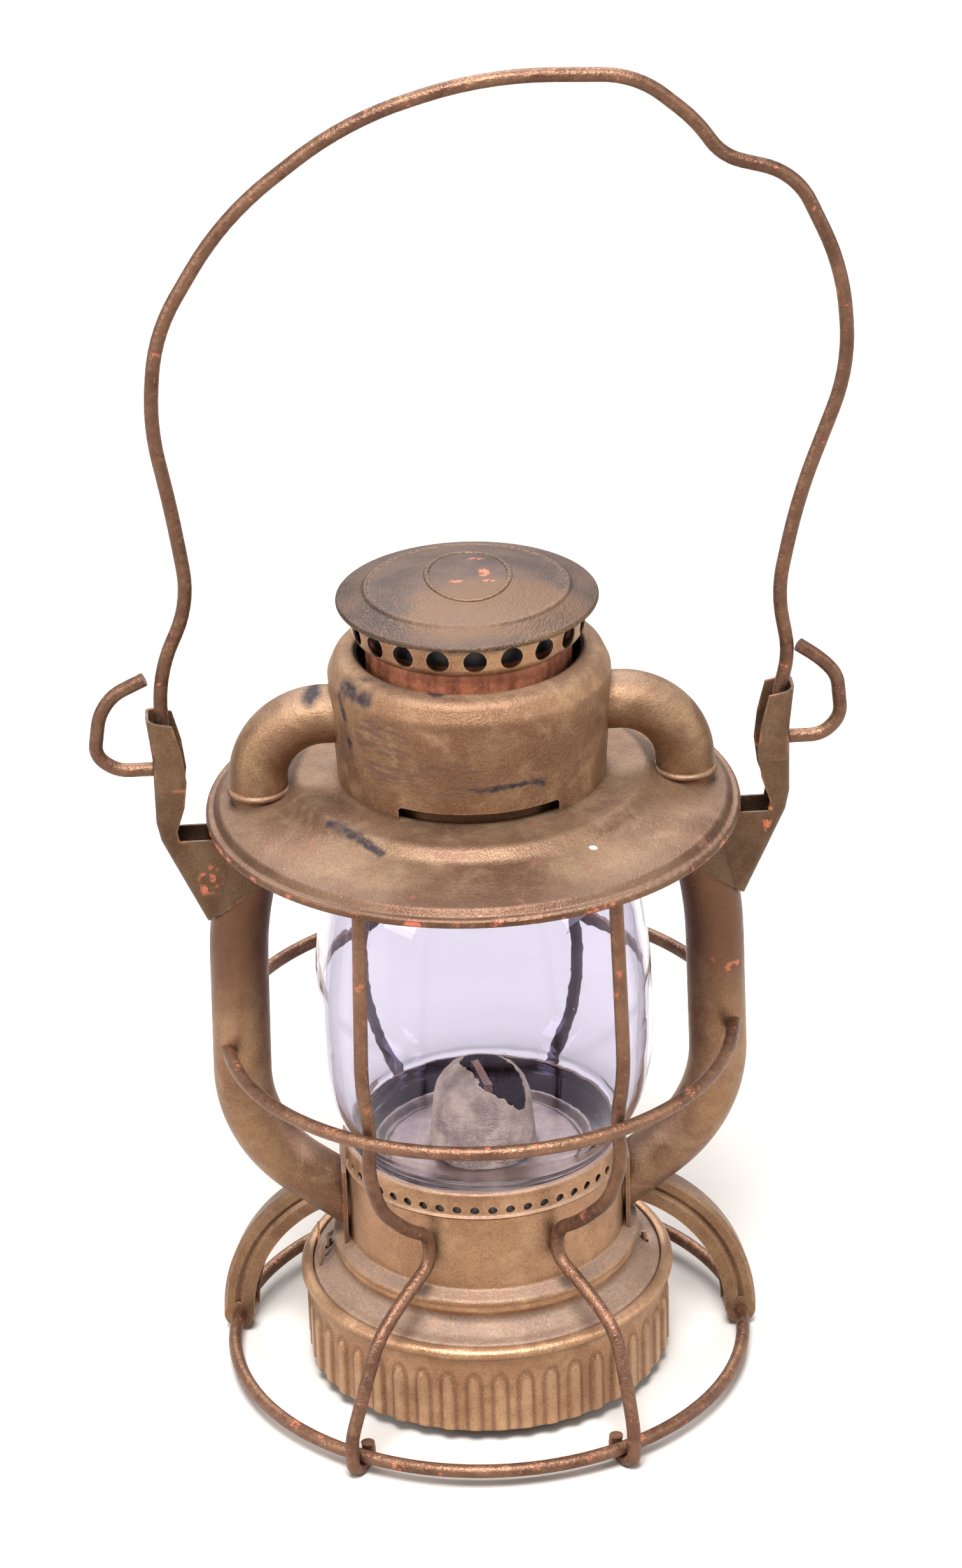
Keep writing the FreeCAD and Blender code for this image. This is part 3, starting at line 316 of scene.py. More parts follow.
def paint(name, *, dusty=0.7, worn=0.5, rust=0.35, red=0.3, bright=1.0, marks=(), reds=(), browns=(),
          pale=(), highlight_bands=(), red_below=None, hollow=False, shine=0.38, dust=1.0, corner_shade=0.6,
          settle=(0.30, 0.95), caked=None, darker=None, flutes=None, cloudy=1.0):
    """Old bronze paint on sheet steel: mottled gold, dust where it settles, primer and rust at the edges.
    marks, reds, browns and pale are places with dark stains, red primer, brown rust and white.
    highlight_bands are heights, each with its reach, where the paint is lightened as a painted highlight.
    Below red_below the primer shows.
    Dust starts on faces as steep as the first value in settle and is full at the second, where 1 is level,
    and it lies thickly between the two heights in caked. darker is two heights between which the paint
    darkens, and by how much. flutes is the number of ribs round the axis, a rib's half width, its top and
    the radius it stands on; beside each rib the colour darkens as painted shade and along its crest it
    lightens as a painted highlight. shine is the bare paint's roughness. cloudy is the strength of the slow
    changes of tone. hollow makes the side that faces the axis sooty."""
    t = Tree(name)
    gold, dark, light = (scaled(tone, bright) for tone in (GOLD, GOLD_DARK, GOLD_LIGHT))
    cloud = t.noise(0.035, 5, 0.6, seed=0.3)
    blotch = t.noise(0.011, 4, 0.6, seed=1.7, twist=0.6)
    grime = t.noise(0.0045, 5, 0.7, seed=2.9)
    speck = t.noise(0.00075, 2, 0.6, seed=2.1)
    flake = t.noise(0.00028, 1, 0.5, seed=3.3)
    up = t.part(t.facing, 2)

    tone = t.mix(t.band(cloud, 0.36, 0.64, 1.0 - 0.75 * cloudy, 1.0), dark, gold)
    tone = t.mix(t.times(t.band(blotch, 0.44, 0.72), 0.45), tone, light)
    tone = t.mix(t.times(t.band(grime, 0.50, 0.70), 0.30 * cloudy), tone, dark)
    if flutes:
        count, half, top, radius = flutes
        far = t.beside_rib(count, top, radius)
        # painted shade in a band beside each rib, and a painted highlight along each rib's crest
        beside = t.times(t.band(far, half - 0.0006, half + 0.0002), t.band(far, half + 0.0016, half + 0.0006))
        tone = t.mix(t.times(beside, 0.60), tone, scaled(dark, 0.75))
        tone = t.mix(t.times(t.band(far, 0.8 * half, 0.2 * half), 0.30), tone, light)
    tone = t.mix(t.times(t.band(speck, 0.50, 0.64), 0.28), tone, scaled(dark, 0.7))
    tone = t.mix(t.times(t.band(flake, 0.55, 0.68), 0.35), tone, scaled(light, 1.15))
    # painted highlights: the colour is lightened in bands at the given heights
    for height, reach in highlight_bands:
        away = t.maths("ABSOLUTE", t.maths("SUBTRACT", t.part(t.place, 2), height))
        tone = t.mix(t.times(t.band(away, reach, 0.3 * reach), t.band(grime, 0.25, 0.6, 0.9, 0.4)), tone,
                     scaled(light, 1.3))

    edge = t.times(t.edges(0.0009), t.band(t.noise(0.0022, 3, seed=4.0), 0.36, 0.56))
    tone = t.mix(t.times(edge, 0.45), tone, light)
    # painted shade: tight corners are darkened toward near-black and dark gold
    corner = t.corners(0.004)
    tone = t.mix(t.times(corner, corner_shade), tone, t.mix(blotch, SOOT_AND_SHADE, dark))

    if darker:
        start, end, share = darker
        tone = t.mix(t.times(t.band(t.part(t.place, 2), start, end), share), tone, scaled(dark, 0.8))

    settled = t.times(t.band(up, *settle), t.band(cloud, 0.25, 0.6, 0.35, 1.0),
                      t.band(grime, 0.3, 0.65, 0.7, 1.0), dusty)
    if caked:
        height = t.part(t.place, 2)
        thick = t.times(t.band(height, caked[0] - 0.0008, caked[0]),
                        t.band(height, caked[1] + 0.0012, caked[1]))
        settled = t.most(settled, t.times(thick, t.band(grime, 0.25, 0.60, 0.45, 0.75)))
    tone = t.mix(settled, tone,
                 t.mix(t.band(speck, 0.40, 0.64), scaled(DUST, dust), scaled(DUST, 0.72 * dust)))
    dot = t.times(t.band(t.noise(0.0009, 1, 0.4, seed=12.4), 0.70, 0.76), t.band(up, 0.0, 0.5))
    tone = t.mix(t.times(dot, 0.5 * dusty), tone, WHITE_DOT)

    rusty = t.times(t.band(t.noise(0.007, 5, 0.65, seed=6.1), 0.64 - 0.1 * rust, 0.74 - 0.1 * rust), rust)
    tone = t.mix(rusty, tone, t.mix(grime, RUST, RUST_BROWN))
    if browns:
        brushed = t.band(t.noise(0.0030, 4, 0.6, stretch=(2.6, 2.6, 0.6), seed=8.8), 0.42, 0.56)
        scuffed = t.times(t.any_spot(browns, 0.6), brushed, 0.85)
        tone = t.mix(scuffed, tone, t.mix(grime, *BRUSHED_BROWNS))
        rusty = t.most(rusty, t.times(scuffed, 0.6))
    flaked = t.band(t.noise(0.0045, 4, 0.7, seed=7.3), 0.70 - 0.06 * red, 0.74 - 0.06 * red)
    chipped = t.most(t.times(flaked, red),
                     t.times(t.edges(0.0013), t.band(t.noise(0.006, 3, seed=8.2), 0.54, 0.62), worn))
    if red_below:
        rim = t.band(t.part(t.place, 2), red_below + 0.0012, red_below)
        chipped = t.most(chipped, t.times(rim, t.band(t.noise(0.0050, 5, 0.7, seed=9.9), 0.54, 0.62)))
    if reds:
        broken = t.band(t.noise(0.0026, 3, seed=9.0), 0.50, 0.56)
        chipped = t.most(chipped, t.times(t.any_spot(reds, 0.5), broken))
    tone = t.mix(t.times(chipped, 0.8), tone, PRIMER)
    stained = 0.0
    if marks:
        stained = t.times(t.any_spot(marks, 0.6), t.band(grime, 0.30, 0.55, 0.60, 0.95))
        tone = t.mix(stained, tone, t.mix(speck, STAIN, STAIN_GREY))
    if pale:
        tone = t.mix(t.any_spot(pale, 0.1), tone, WHITE_MARK)
    metal = t.blend(t.most(settled, chipped, rusty, stained), 0.86, 0.10)
    rough = t.blend(settled, t.band(blotch, 0.3, 0.7, shine - 0.05, shine + 0.10), 0.72)
    if hollow:
        inside = t.maths("SUBTRACT", 1.0, t.outward())
        tone = t.mix(inside, tone, t.mix(blotch, SOOT_AND_SHADE, SMOKED))
        metal = t.blend(inside, metal, 0.0)
        rough = t.blend(inside, rough, 0.8)
        stained = t.most(stained, inside)
    specular = t.blend(stained, 0.5, 0.12)
    grit = t.maths("ADD", t.times(speck, 0.6), t.times(flake, 0.3))
    grit = t.maths("ADD", grit, t.times(grime, 0.6))
    normal = t.bump(grit, 0.00024, t.bump(t.noise(0.020, 2, 0.5, seed=11.0), 0.0008))
    return t.shade(Base_Color=tone, Metallic=metal, Roughness=rough, Specular_IOR_Level=specular,
                   Normal=normal)


WIRE_BROWNS = ((0.105, 0.047, 0.028), (0.206, 0.106, 0.062))
WIRE_RUBBED = (0.342, 0.195, 0.112)
WIRE_DEEP = (0.070, 0.032, 0.020)
WIRE_CHIPS = ((0.160, 0.042, 0.022), (0.430, 0.120, 0.052))
WIRE_BARE = (0.055, 0.032, 0.026)
WIRE_CORNER_SHADE = (0.060, 0.035, 0.024)


def wire_paint(name, red=0.5, bright=1.0):
    """Bronze paint on wire, rubbed through to primer and brown rust in patches along its length. red is how
    much primer shows."""
    t = Tree(name)
    patch = t.noise(0.018, 5, 0.7, seed=0.9)
    fleck = t.noise(0.0028, 5, 0.75, seed=2.6)
    speck = t.noise(0.0007, 2, 0.6, seed=4.4)
    lump = t.noise(0.0018, 3, 0.6, seed=5.1)
    tone = t.mix(t.band(patch, 0.30, 0.66), *(scaled(brown, bright) for brown in WIRE_BROWNS))
    tone = t.mix(t.times(t.band(fleck, 0.50, 0.72), 0.45), tone, scaled(WIRE_RUBBED, bright))
    tone = t.mix(t.times(t.band(fleck, 0.42, 0.30), 0.35), tone, WIRE_DEEP)
    orange = t.times(t.band(t.noise(0.0042, 5, 0.75, seed=7.7), 0.64 - 0.08 * red, 0.67 - 0.07 * red), 0.9)
    tone = t.mix(orange, tone, t.mix(fleck, *WIRE_CHIPS))
    bare = t.band(t.noise(0.004, 4, 0.7, seed=9.1), 0.67, 0.72)
    tone = t.mix(t.times(bare, 0.75), tone, WIRE_BARE)
    # painted shade: tight corners of the wire are darkened
    tone = t.mix(t.times(t.corners(0.004), 0.8), tone, WIRE_CORNER_SHADE)
    tone = t.mix(t.times(t.band(speck, 0.52, 0.66), 0.4), tone, GOLD_DARK)
    height = t.maths("ADD", lump, t.times(speck, 0.5))
    return t.shade(Base_Color=tone, Metallic=t.blend(t.most(orange, bare), 0.75, 0.15),
                   Roughness=t.band(fleck, 0.3, 0.7, 0.36, 0.52), Normal=t.bump(height, 0.00036))


CAP_BROWNS = ((0.028, 0.014, 0.009), (0.066, 0.035, 0.019))
CAP_SPECK = (0.022, 0.012, 0.009)
CAP_RUST = (0.070, 0.026, 0.015)
CAP_GOLDEN = (0.090, 0.047, 0.024)
CAP_DUSTS = ((0.036, 0.020, 0.017), (0.096, 0.057, 0.048))
CAP_RIM = (0.230, 0.135, 0.070)
CAP_SCRATCH = (0.300, 0.270, 0.260)
CAP_RED = (0.380, 0.085, 0.035)


def cap_paint(name):
    """The cap's paint: brown and dusty, rubbed bright along its rim, with old red in the medallion."""
    t = Tree(name)
    cloud = t.noise(0.020, 5, 0.62, seed=0.4)
    speck = t.noise(0.0008, 2, 0.6, seed=1.9)
    scratch = t.noise(0.0010, 3, 0.6, stretch=(7, 0.8, 1), seed=3.0)
    up = t.part(t.facing, 2)
    tone = t.mix(t.band(cloud, 0.36, 0.64), *CAP_BROWNS)
    tone = t.mix(t.times(t.band(speck, 0.48, 0.62), 0.55), tone, CAP_SPECK)
    tone = t.mix(t.times(t.band(t.noise(0.006, 5, 0.7, seed=5.5), 0.56, 0.66), 0.6), tone, CAP_RUST)
    golden = t.spot((0.006, -0.020, 0.262), (0.034, 0.020, 0.020), 0.6)
    tone = t.mix(t.times(golden, t.band(cloud, 0.3, 0.6, 0.5, 1.0)), tone, CAP_GOLDEN)
    dust = t.times(t.band(up, 0.75, 0.99), t.band(cloud, 0.3, 0.62, 0.10, 0.42))
    dust = t.times(dust, t.blend(golden, 1.0, 0.15))
    tone = t.mix(dust, tone, t.mix(t.band(speck, 0.35, 0.65), *CAP_DUSTS))
    rim = t.times(t.edges(0.0012), t.band(speck, 0.40, 0.55))
    tone = t.mix(rim, tone, CAP_RIM)
    scuff = t.times(t.band(scratch, 0.68, 0.74), t.spot((-0.027, -0.004, 0.262), (0.014, 0.030, 0.020)))
    tone = t.mix(t.times(scuff, 0.5), tone, CAP_SCRATCH)
    flecks = t.any_spot([((-0.0035, -0.0045, 0.2655), (0.0030, 0.0010, 0.004)),
                         ((0.0050, 0.0010, 0.2655), (0.0022, 0.0034, 0.004)),
                         ((0.0035, 0.0120, 0.2655), (0.0030, 0.0012, 0.004)),
                         ((0.0062, -0.0050, 0.2655), (0.0028, 0.0010, 0.004))], 0.6)
    flecks = t.times(flecks, t.band(t.noise(0.0012, 3, 0.7, seed=8.0), 0.44, 0.52))
    tone = t.mix(t.times(flecks, 0.9), tone, CAP_RED)
    below = t.times(t.band(up, -0.2, -0.7), t.spot((0, 0, 0.262), (0.0385, 0.0385, 0.03), 0.0))
    tone = t.mix(below, tone, SOOT_AND_SHADE)
    metal = t.blend(t.most(dust, flecks, below), 0.60, 0.12)
    rough = t.blend(dust, t.band(cloud, 0.3, 0.7, 0.46, 0.58), 0.70)
    height = t.maths("ADD", t.times(speck, 0.9), t.times(cloud, 1.6))
    return t.shade(Base_Color=tone, Metallic=metal, Roughness=rough, Normal=t.bump(height, 0.00028))


HEAT_RUSTS = ((0.120, 0.034, 0.017), (0.290, 0.098, 0.048))
HEAT_FLECK = (0.330, 0.150, 0.090)
HEAT_BROWN = (0.090, 0.045, 0.040)


def rusty_sheet(name, bright=1.0, sooty_above=None, gold_below=None):
    """Sheet steel that the lamp's heat has rusted red, with darker streaks down it. It is black above one
    height and on the side that faces the axis, and keeps its bronze paint below another height."""
    t = Tree(name)
    streak = t.noise(0.005, 4, 0.6, stretch=(1, 1, 5), seed=0.6)
    fleck = t.noise(0.0014, 4, 0.7, seed=2.2)
    tone = t.mix(t.band(streak, 0.35, 0.65), *(scaled(rust, bright) for rust in HEAT_RUSTS))
    tone = t.mix(t.times(t.band(fleck, 0.55, 0.70), 0.5), tone, scaled(HEAT_FLECK, bright))
    tone = t.mix(t.band(t.noise(0.008, 3, seed=4.0), 0.62, 0.70), tone, HEAT_BROWN)
    height = t.part(t.place, 2)
    metal = t.band(fleck, 0.3, 0.7, 0.45, 0.15)
    if sooty_above:
        black = t.band(height, sooty_above - 0.001, sooty_above)
        tone, metal = t.mix(black, tone, SOOT_AND_SHADE), t.blend(black, metal, 0.0)
    if gold_below:
        gold = t.band(height, gold_below + 0.001, gold_below)
        tone, metal = t.mix(gold, tone, t.mix(fleck, GOLD_DARK, GOLD)), t.blend(gold, metal, 0.8)
    tone = t.mix(t.outward(), SOOT_AND_SHADE, tone)
    return t.shade(Base_Color=tone, Metallic=metal, Roughness=0.5,
                   Normal=t.bump(t.maths("ADD", fleck, streak), 0.0002))


def old_metal(name, pale, dark, metal=0.6, rough=0.5, spots=0.5, pits=0.00018, sooty=None):
    """Dull bare metal with painted shade in its corners and darker blotches. pits is how deep the pits are.
    Faces that look at the point sooty are black."""
    t = Tree(name)
    cloud = t.noise(0.010, 5, 0.6, seed=0.2)
    fleck = t.noise(0.0016, 4, 0.7, seed=1.4)
    speck = t.noise(0.0005, 2, 0.6, seed=3.9)
    tone = t.mix(t.band(cloud, 0.35, 0.65), dark, pale)
    tone = t.mix(t.times(t.band(fleck, 0.55, 0.68), spots), tone, dark)
    tone = t.mix(t.times(t.edges(0.0008), t.band(speck, 0.4, 0.55), 0.7), tone, scaled(pale, 1.5))
    # painted shade: tight corners are darkened toward near-black
    tone = t.mix(t.times(t.corners(0.005), 0.8), tone, SOOT_AND_SHADE)
    if sooty:
        tone = t.mix(t.maths("SUBTRACT", 1.0, t.outward(sooty)), tone, SOOT_AND_SHADE)
    height = t.maths("ADD", t.times(fleck, 0.8), t.times(speck, 0.5))
    return t.shade(Base_Color=tone, Metallic=metal,
                   Roughness=t.band(cloud, 0.3, 0.7, rough - 0.08, rough + 0.12),
                   Normal=t.bump(height, pits))


GLASS_TINT = (0.722, 0.716, 0.808, 1)
GLASS_GLINT = (0.62, 0.52, 0.72, 1)
GLASS_SHADOW = (0.93, 0.92, 0.96, 1)


def clear_glass(name):
    """Old moulded glass: clear with a lavender tint, slow waves in its wall and a few bubbles. Light passes
    it without a shadow but for a faint tint."""
    t = Tree(name)
    wave = t.noise(0.016, 2, 0.4, stretch=(1, 1, 0.8), seed=0.7)
    ripple = t.noise(0.005, 2, 0.4, stretch=(1.6, 1.6, 0.5), seed=3.1)
    bubble = t.band(t.noise(0.0022, 1, 0.3, seed=5.2), 0.76, 0.82)
    height = t.maths("ADD", wave, t.times(ripple, 0.06))
    normal = t.bump(t.maths("ADD", height, t.times(bubble, 0.06)), 0.00016)
    glass = t.node("BsdfPrincipled", {"Base Color": GLASS_TINT, "Roughness": 0.0, "IOR": 1.36,
                                      "Specular Tint": GLASS_GLINT,
                                      "Transmission Weight": 1.0, "Normal": normal})
    clear = t.node("BsdfTransparent", {"Color": GLASS_SHADOW})
    lamp_ray = t.node("LightPath").outputs["Is Shadow Ray"]
    both = t.node("MixShader", {0: lamp_ray, 1: glass.outputs[0], 2: clear.outputs[0]})
    out = t.node("OutputMaterial")
    t.links.new(both.outputs[0], out.inputs["Surface"])
    return t.material


COTTON_TONES = ((0.150, 0.085, 0.050), (0.400, 0.260, 0.170))
CHAR = (0.260, 0.110, 0.062)


def cotton(name):
    """The wick: a flat woven braid, scorched brown at its end."""
    t = Tree(name)
    across = t.node("TexWave", {"Vector": t.place, "Scale": 420.0, "Distortion": 1.2, "Detail": 1.0},
                    bands_direction="DIAGONAL").outputs[1]
    turned = t.moved(t.place, turn=(0, 1.57, 0))
    along = t.node("TexWave", {"Vector": turned, "Scale": 420.0, "Distortion": 1.0},
                   bands_direction="DIAGONAL").outputs[1]
    weave = t.maths("MULTIPLY", across, along)
    tone = t.mix(weave, *COTTON_TONES)
    charred = t.maths("ADD", t.part(t.place, 2), t.times(t.noise(0.003, 3), 0.004))
    tone = t.mix(t.band(charred, 0.094, 0.099), tone, CHAR)
    return t.shade(Base_Color=tone, Roughness=0.95, Sheen_Weight=0.3, Sheen_Roughness=0.5,
                   Normal=t.bump(weave, 0.0003))


# the fount's pressed ribs, in millimetres: how many, their half width, the width of their soft side, how far
# they stand out, their top and foot, and how quickly they end above and below those
MM = 0.001
CUP_RADIUS = 56.0
RIBS = 44
RIB_HALF, RIB_SOFT, RIB_PROUD = 1.9, 1.2, 1.25
RIB_TOP, RIB_FOOT, RIB_FADE = 20.2, 5.2, 0.55


def dress(material, *names):
    """The CAD nodes keep their shapes and take this material."""
    for name in names:
        NODES[name].data.materials.clear()
        NODES[name].data.materials.append(material)


# the side tubes darken toward their tops, under the hood: painted shade
dress(paint("bronze_paint", rust=0.35, red=0.06, bright=0.90, darker=(0.110, 0.150, 0.8),
            reds=[((0.0767, -0.0090, 0.1357), (0.0040, 0.0060, 0.0016)),
                  ((0.0700, -0.0120, 0.1385), (0.0030, 0.0050, 0.0020))]),
      "side_tube_left", "side_tube_right")
dress(paint("leg_paint", rust=0.35, red=0.10, bright=0.8), "leg_left", "leg_right")
dress(paint("ear_paint", rust=0.35, red=0.10, worn=0.6, bright=0.42, dust=0.6, shine=0.48,
            reds=[((-0.0799, -0.0090, 0.1735), (0.0050, 0.0060, 0.0070)),
                  ((0.0880, -0.0090, 0.1860), (0.0020, 0.0060, 0.0080))]), "ear_left", "ear_right")
dress(paint("elbow_paint", rust=0.35, red=0.20, dusty=0.4, shine=0.50, bright=0.78,
            marks=[((-0.0480, -0.0060, 0.2315), (-0.0440, 0.0060, 0.2320), 0.0040)]),
      "elbow_left", "elbow_right")
dress(paint("bell_paint", dusty=0.9, rust=0.25, red=0.06, worn=0.1, hollow=True, bright=1.25, dust=1.25,
            corner_shade=0.20, cloudy=0.7, settle=(0.18, 0.80), caked=(0.0330, 0.0395), shine=0.42,
            highlight_bands=[(0.0425, 0.0015)],
            marks=[((-0.0500, 0.0020, 0.0350), (-0.0475, 0.0060, 0.0390), 0.0014),
                   ((-0.0490, 0.0140, 0.0350), (-0.0455, 0.0200, 0.0370), 0.0022)]), "bell")
dress(paint("hood_paint", dusty=0.30, rust=0.6, red=0.06, worn=0.25, bright=0.72, dust=0.85, shine=0.44,
            red_below=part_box("hood")[0].z + 0.0016, darker=(0.1980, 0.1958, 0.6),
            marks=[((-0.0435, -0.0308, 0.2025), (-0.0364, -0.0391, 0.2020), 0.0030),
                   ((-0.0364, -0.0391, 0.2020), (-0.0297, -0.0480, 0.2010), 0.0022),
                   ((-0.0400, -0.0350, 0.2025), (-0.0300, -0.0410, 0.2020), 0.0016)],
            pale=[((0.0320, -0.0495, 0.2010), (0.0015, 0.0012, 0.004))]), "hood")
dress(paint("drum_paint", dusty=0.3, rust=0.45, red=0.03, worn=0.1, hollow=True, shine=0.56, bright=0.95,
            marks=[((-0.0375, -0.0170, 0.2395), (-0.0330, -0.0260, 0.2400), 0.0050),
                   ((-0.0400, -0.0160, 0.2380), (-0.0372, -0.0200, 0.2190), 0.0030),
                   ((-0.0330, -0.0180, 0.2420), (-0.0196, -0.0285, 0.2425), 0.0026),
                   ((-0.0196, -0.0290, 0.2425), (-0.0040, -0.0345, 0.2425), 0.0013),
                   ((-0.0117, -0.0325, 0.2425), (0.0034, 0.0030, 0.0050)),
                   ((-0.0040, -0.0420, 0.2155), (0.0160, -0.0385, 0.2165), 0.0016),
                   ((0.0160, -0.0385, 0.2165), (0.0190, -0.0370, 0.2150), 0.0022)],
            browns=[((-0.0270, -0.0320, 0.2260), (0.0140, 0.0150, 0.0125)),
                    ((-0.0130, -0.0400, 0.2190), (0.0150, 0.0090, 0.0080))]), "air_drum")
FOUNT_PAINT = paint("fount_paint", dusty=0.3, rust=0.3, red=0.04, worn=0.1, bright=1.45, corner_shade=0.55,
                    flutes=(RIBS, RIB_HALF * MM, RIB_TOP * MM, CUP_RADIUS * MM), cloudy=0.5)
dress(paint("vent_paint", dusty=0.1, rust=0.2, red=0.05, worn=0.1, hollow=True, bright=1.3), "vent_band")
dress(cap_paint("cap_paint"), "cap")
dress(wire_paint("wire_paint", bright=0.85), "base_ring", "guard_front", "guard_back", "cage_wire_front_left",
      "cage_wire_front_right")
# the back cage wires take a darker colour than the front wires: painted shade
dress(old_metal("back_wire_shaded", (0.090, 0.062, 0.050), (0.036, 0.026, 0.024), metal=0.5),
      "cage_wire_back_left", "cage_wire_back_right")
dress(wire_paint("bail_paint", red=0.15, bright=0.68), "bail")
dress(rusty_sheet("rusty_sheet", 1.3, sooty_above=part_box("vent_band")[0].z + 0.003), "chimney_tube")
dress(rusty_sheet("rusty_sleeve", 0.8, gold_below=0.213), "chimney_sleeve")
dress(old_metal("burner_metal", (0.210, 0.152, 0.140), (0.080, 0.054, 0.050), spots=0.6), "burner_body",
      "wick_tube", "filler_cap")
CONE_METAL = old_metal("cone_metal", (0.760, 0.600, 0.430), (0.360, 0.270, 0.200), metal=0.5, rough=0.42,
                       pits=0.0016, sooty=(0, 0, 0.085))
dress(old_metal("knob_metal", (0.420, 0.300, 0.150), (0.160, 0.095, 0.045), metal=0.85), "wick_shaft",
      "thumb_wheel", "spur_wheels")
dress(old_metal("plain_tin", (0.280, 0.230, 0.190), (0.090, 0.065, 0.050)), "fount_cover", "bayonet_lugs",
      "retaining_tabs", "globe_crown")
dress(old_metal("spring_steel", (0.330, 0.180, 0.110), (0.110, 0.050, 0.032), metal=0.6), "catch_spring",
      "latch_strip")
dress(cotton("wick_cotton"), "wick")

# ---------------------------------------------------------------- pieces that stand for CAD nodes


def add_piece(name, mesh, body, material, smooth=True):
    """A new object that rides on a body."""
    piece = bpy.data.objects.new(name, mesh)
    scene.collection.objects.link(piece)
    mesh.materials.clear()
    mesh.materials.append(material)
    if smooth:
        for face in mesh.polygons:
            face.use_smooth = True
    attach(piece, body)
    return piece


def finished(name, mesh):
    """The mesh, with its faces all turned outwards."""
    bmesh.ops.recalc_face_normals(mesh, faces=mesh.faces)
    data = bpy.data.meshes.new(name)
    mesh.to_mesh(data)
    mesh.free()
    return data


def joined_rings(name, rings):
    """A closed surface over rings of points, each joined to the next and the last to the first."""
    mesh = bmesh.new()
    rings = [[mesh.verts.new(point) for point in ring] for ring in rings]
    for here, there in zip(rings, rings[1:] + rings[:1]):
        for j in range(len(here)):
            k = (j + 1) % len(here)
            mesh.faces.new((here[j], there[j], there[k], here[k]))
    return finished(name, mesh)


def lathe(name, profile, steps, centre=(0, 0)):
    """A closed profile of (radius, height) pairs, turned once round a vertical axis."""
    turns = [2 * math.pi * i / steps for i in range(steps)]
    return joined_rings(name, [[(centre[0] + r * math.cos(angle), centre[1] + r * math.sin(angle), z)
                                for r, z in profile] for angle in turns])


def in_metres(profile):
    """A profile of (radius, height) pairs in millimetres, turned into metres."""
    return [(r * MM, z * MM) for r, z in profile]


def smooth_line(points, parts):
    """A curve through the points, closed on itself, with that many parts between neighbours."""
    count = len(points)
    line = []
    for i in range(count):
        p0, p1, p2, p3 = (Vector(points[(i + k - 1) % count]) for k in range(4))
        for j in range(parts):
            t = j / parts
            line.append(tuple(0.5 * (2 * p1 + (p2 - p0) * t + (2 * p0 - 5 * p1 + 4 * p2 - p3) * t ** 2
                                     + (3 * p1 - p0 - 3 * p2 + p3) * t ** 3)))
    return line


def soft_copy(name, node, material):
    """A piece with a copy of a CAD node's own mesh; the node itself is hidden."""
    piece = add_piece(name, NODES[node].data.copy(), NODES[node]["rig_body"], material)
    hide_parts(node)
    return piece


LIP_PAINT = paint("lip_paint", rust=0.4, red=0.5, worn=0.8, bright=0.5, shine=0.48, dust=0.6)
for side, place in (("left", -0.095), ("right", 0.095)):
    lips = soft_copy("ear_lips_%s_soft" % side, "ear_lips_" + side, LIP_PAINT)
    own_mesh(lips)

# the spring that holds the chimney down, as a piece with its own copy of the CAD mesh
low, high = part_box("lift_spring")
spring = soft_copy("lift_spring_soft", "lift_spring",
                   old_metal("lift_spring_steel", (0.300, 0.200, 0.150), (0.090, 0.045, 0.030)))
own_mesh(spring)

# the globe: outer wall from foot to top, then the inner wall back down
low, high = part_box("globe")
GLOBE_MIDDLE = ((low.x + high.x) / 2, (low.y + high.y) / 2)
GLOBE_OUTER = [(39.6, 70.7), (39.6, 77.6), (40.3, 79.4), (40.8, 80.6), (40.9, 81.6), (41.6, 82.6),
               (42.1, 83.6), (42.4, 84.6), (43.6, 86.4), (47.0, 91.0), (49.6, 97.0), (51.0, 104.0),
               (51.7, 112.0), (52.0, 120.0), (51.9, 129.0), (51.2, 139.0), (49.9, 150.0), (48.2, 160.0),
               (45.6, 168.5), (42.2, 174.5), (39.2, 178.0), (38.1, 181.0), (38.0, 184.5)]
WALL = 2.6
GLOBE_INNER = [(r - WALL, z) for r, z in reversed(GLOBE_OUTER)]
globe_line = smooth_line(in_metres(GLOBE_OUTER + GLOBE_INNER), 4)
globe = add_piece("globe_glass", lathe("globe_glass", globe_line, 144, GLOBE_MIDDLE), "frame",
                  clear_glass("glass"))
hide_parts("globe")

# the globe's seat: a plate with its outer edge turned up behind the collar's holes
SEAT = [(36.1, 67.6), (36.8, 67.6), (36.8, 69.9), (41.2, 69.9), (42.0, 70.8), (42.0, 77.4), (41.5, 77.4),
        (41.5, 71.0), (41.0, 70.6), (36.1, 70.6)]
SEAT_METAL = old_metal("seat_metal", (0.300, 0.235, 0.195), (0.130, 0.098, 0.085), metal=0.3, rough=0.6)
seat = add_piece("globe_seat_dished", lathe("globe_seat_dished", in_metres(SEAT), 180), "frame",
                 SEAT_METAL, smooth=False)
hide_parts("globe_seat")

# the burner's deck: a plate with a raised bead round it
DECK = [(15.6, 72.6), (15.6, 73.4), (29.5, 73.4), (30.6, 72.6), (32.0, 72.5), (32.7, 73.4), (33.3, 74.6),
        (34.0, 75.1), (34.7, 74.9), (35.2, 74.0), (35.3, 70.5), (34.7, 70.5), (34.6, 73.6), (34.0, 74.2),
        (33.4, 73.6), (32.6, 71.9), (30.3, 71.9), (29.2, 72.6)]
DECK_METAL = old_metal("deck_metal", (0.330, 0.262, 0.215), (0.150, 0.112, 0.095), spots=0.5)
deck_line = smooth_line(in_metres(DECK), 2)
deck = add_piece("burner_deck_beaded", lathe("burner_deck_beaded", deck_line, 180), "fount", DECK_METAL)
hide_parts("burner_deck")

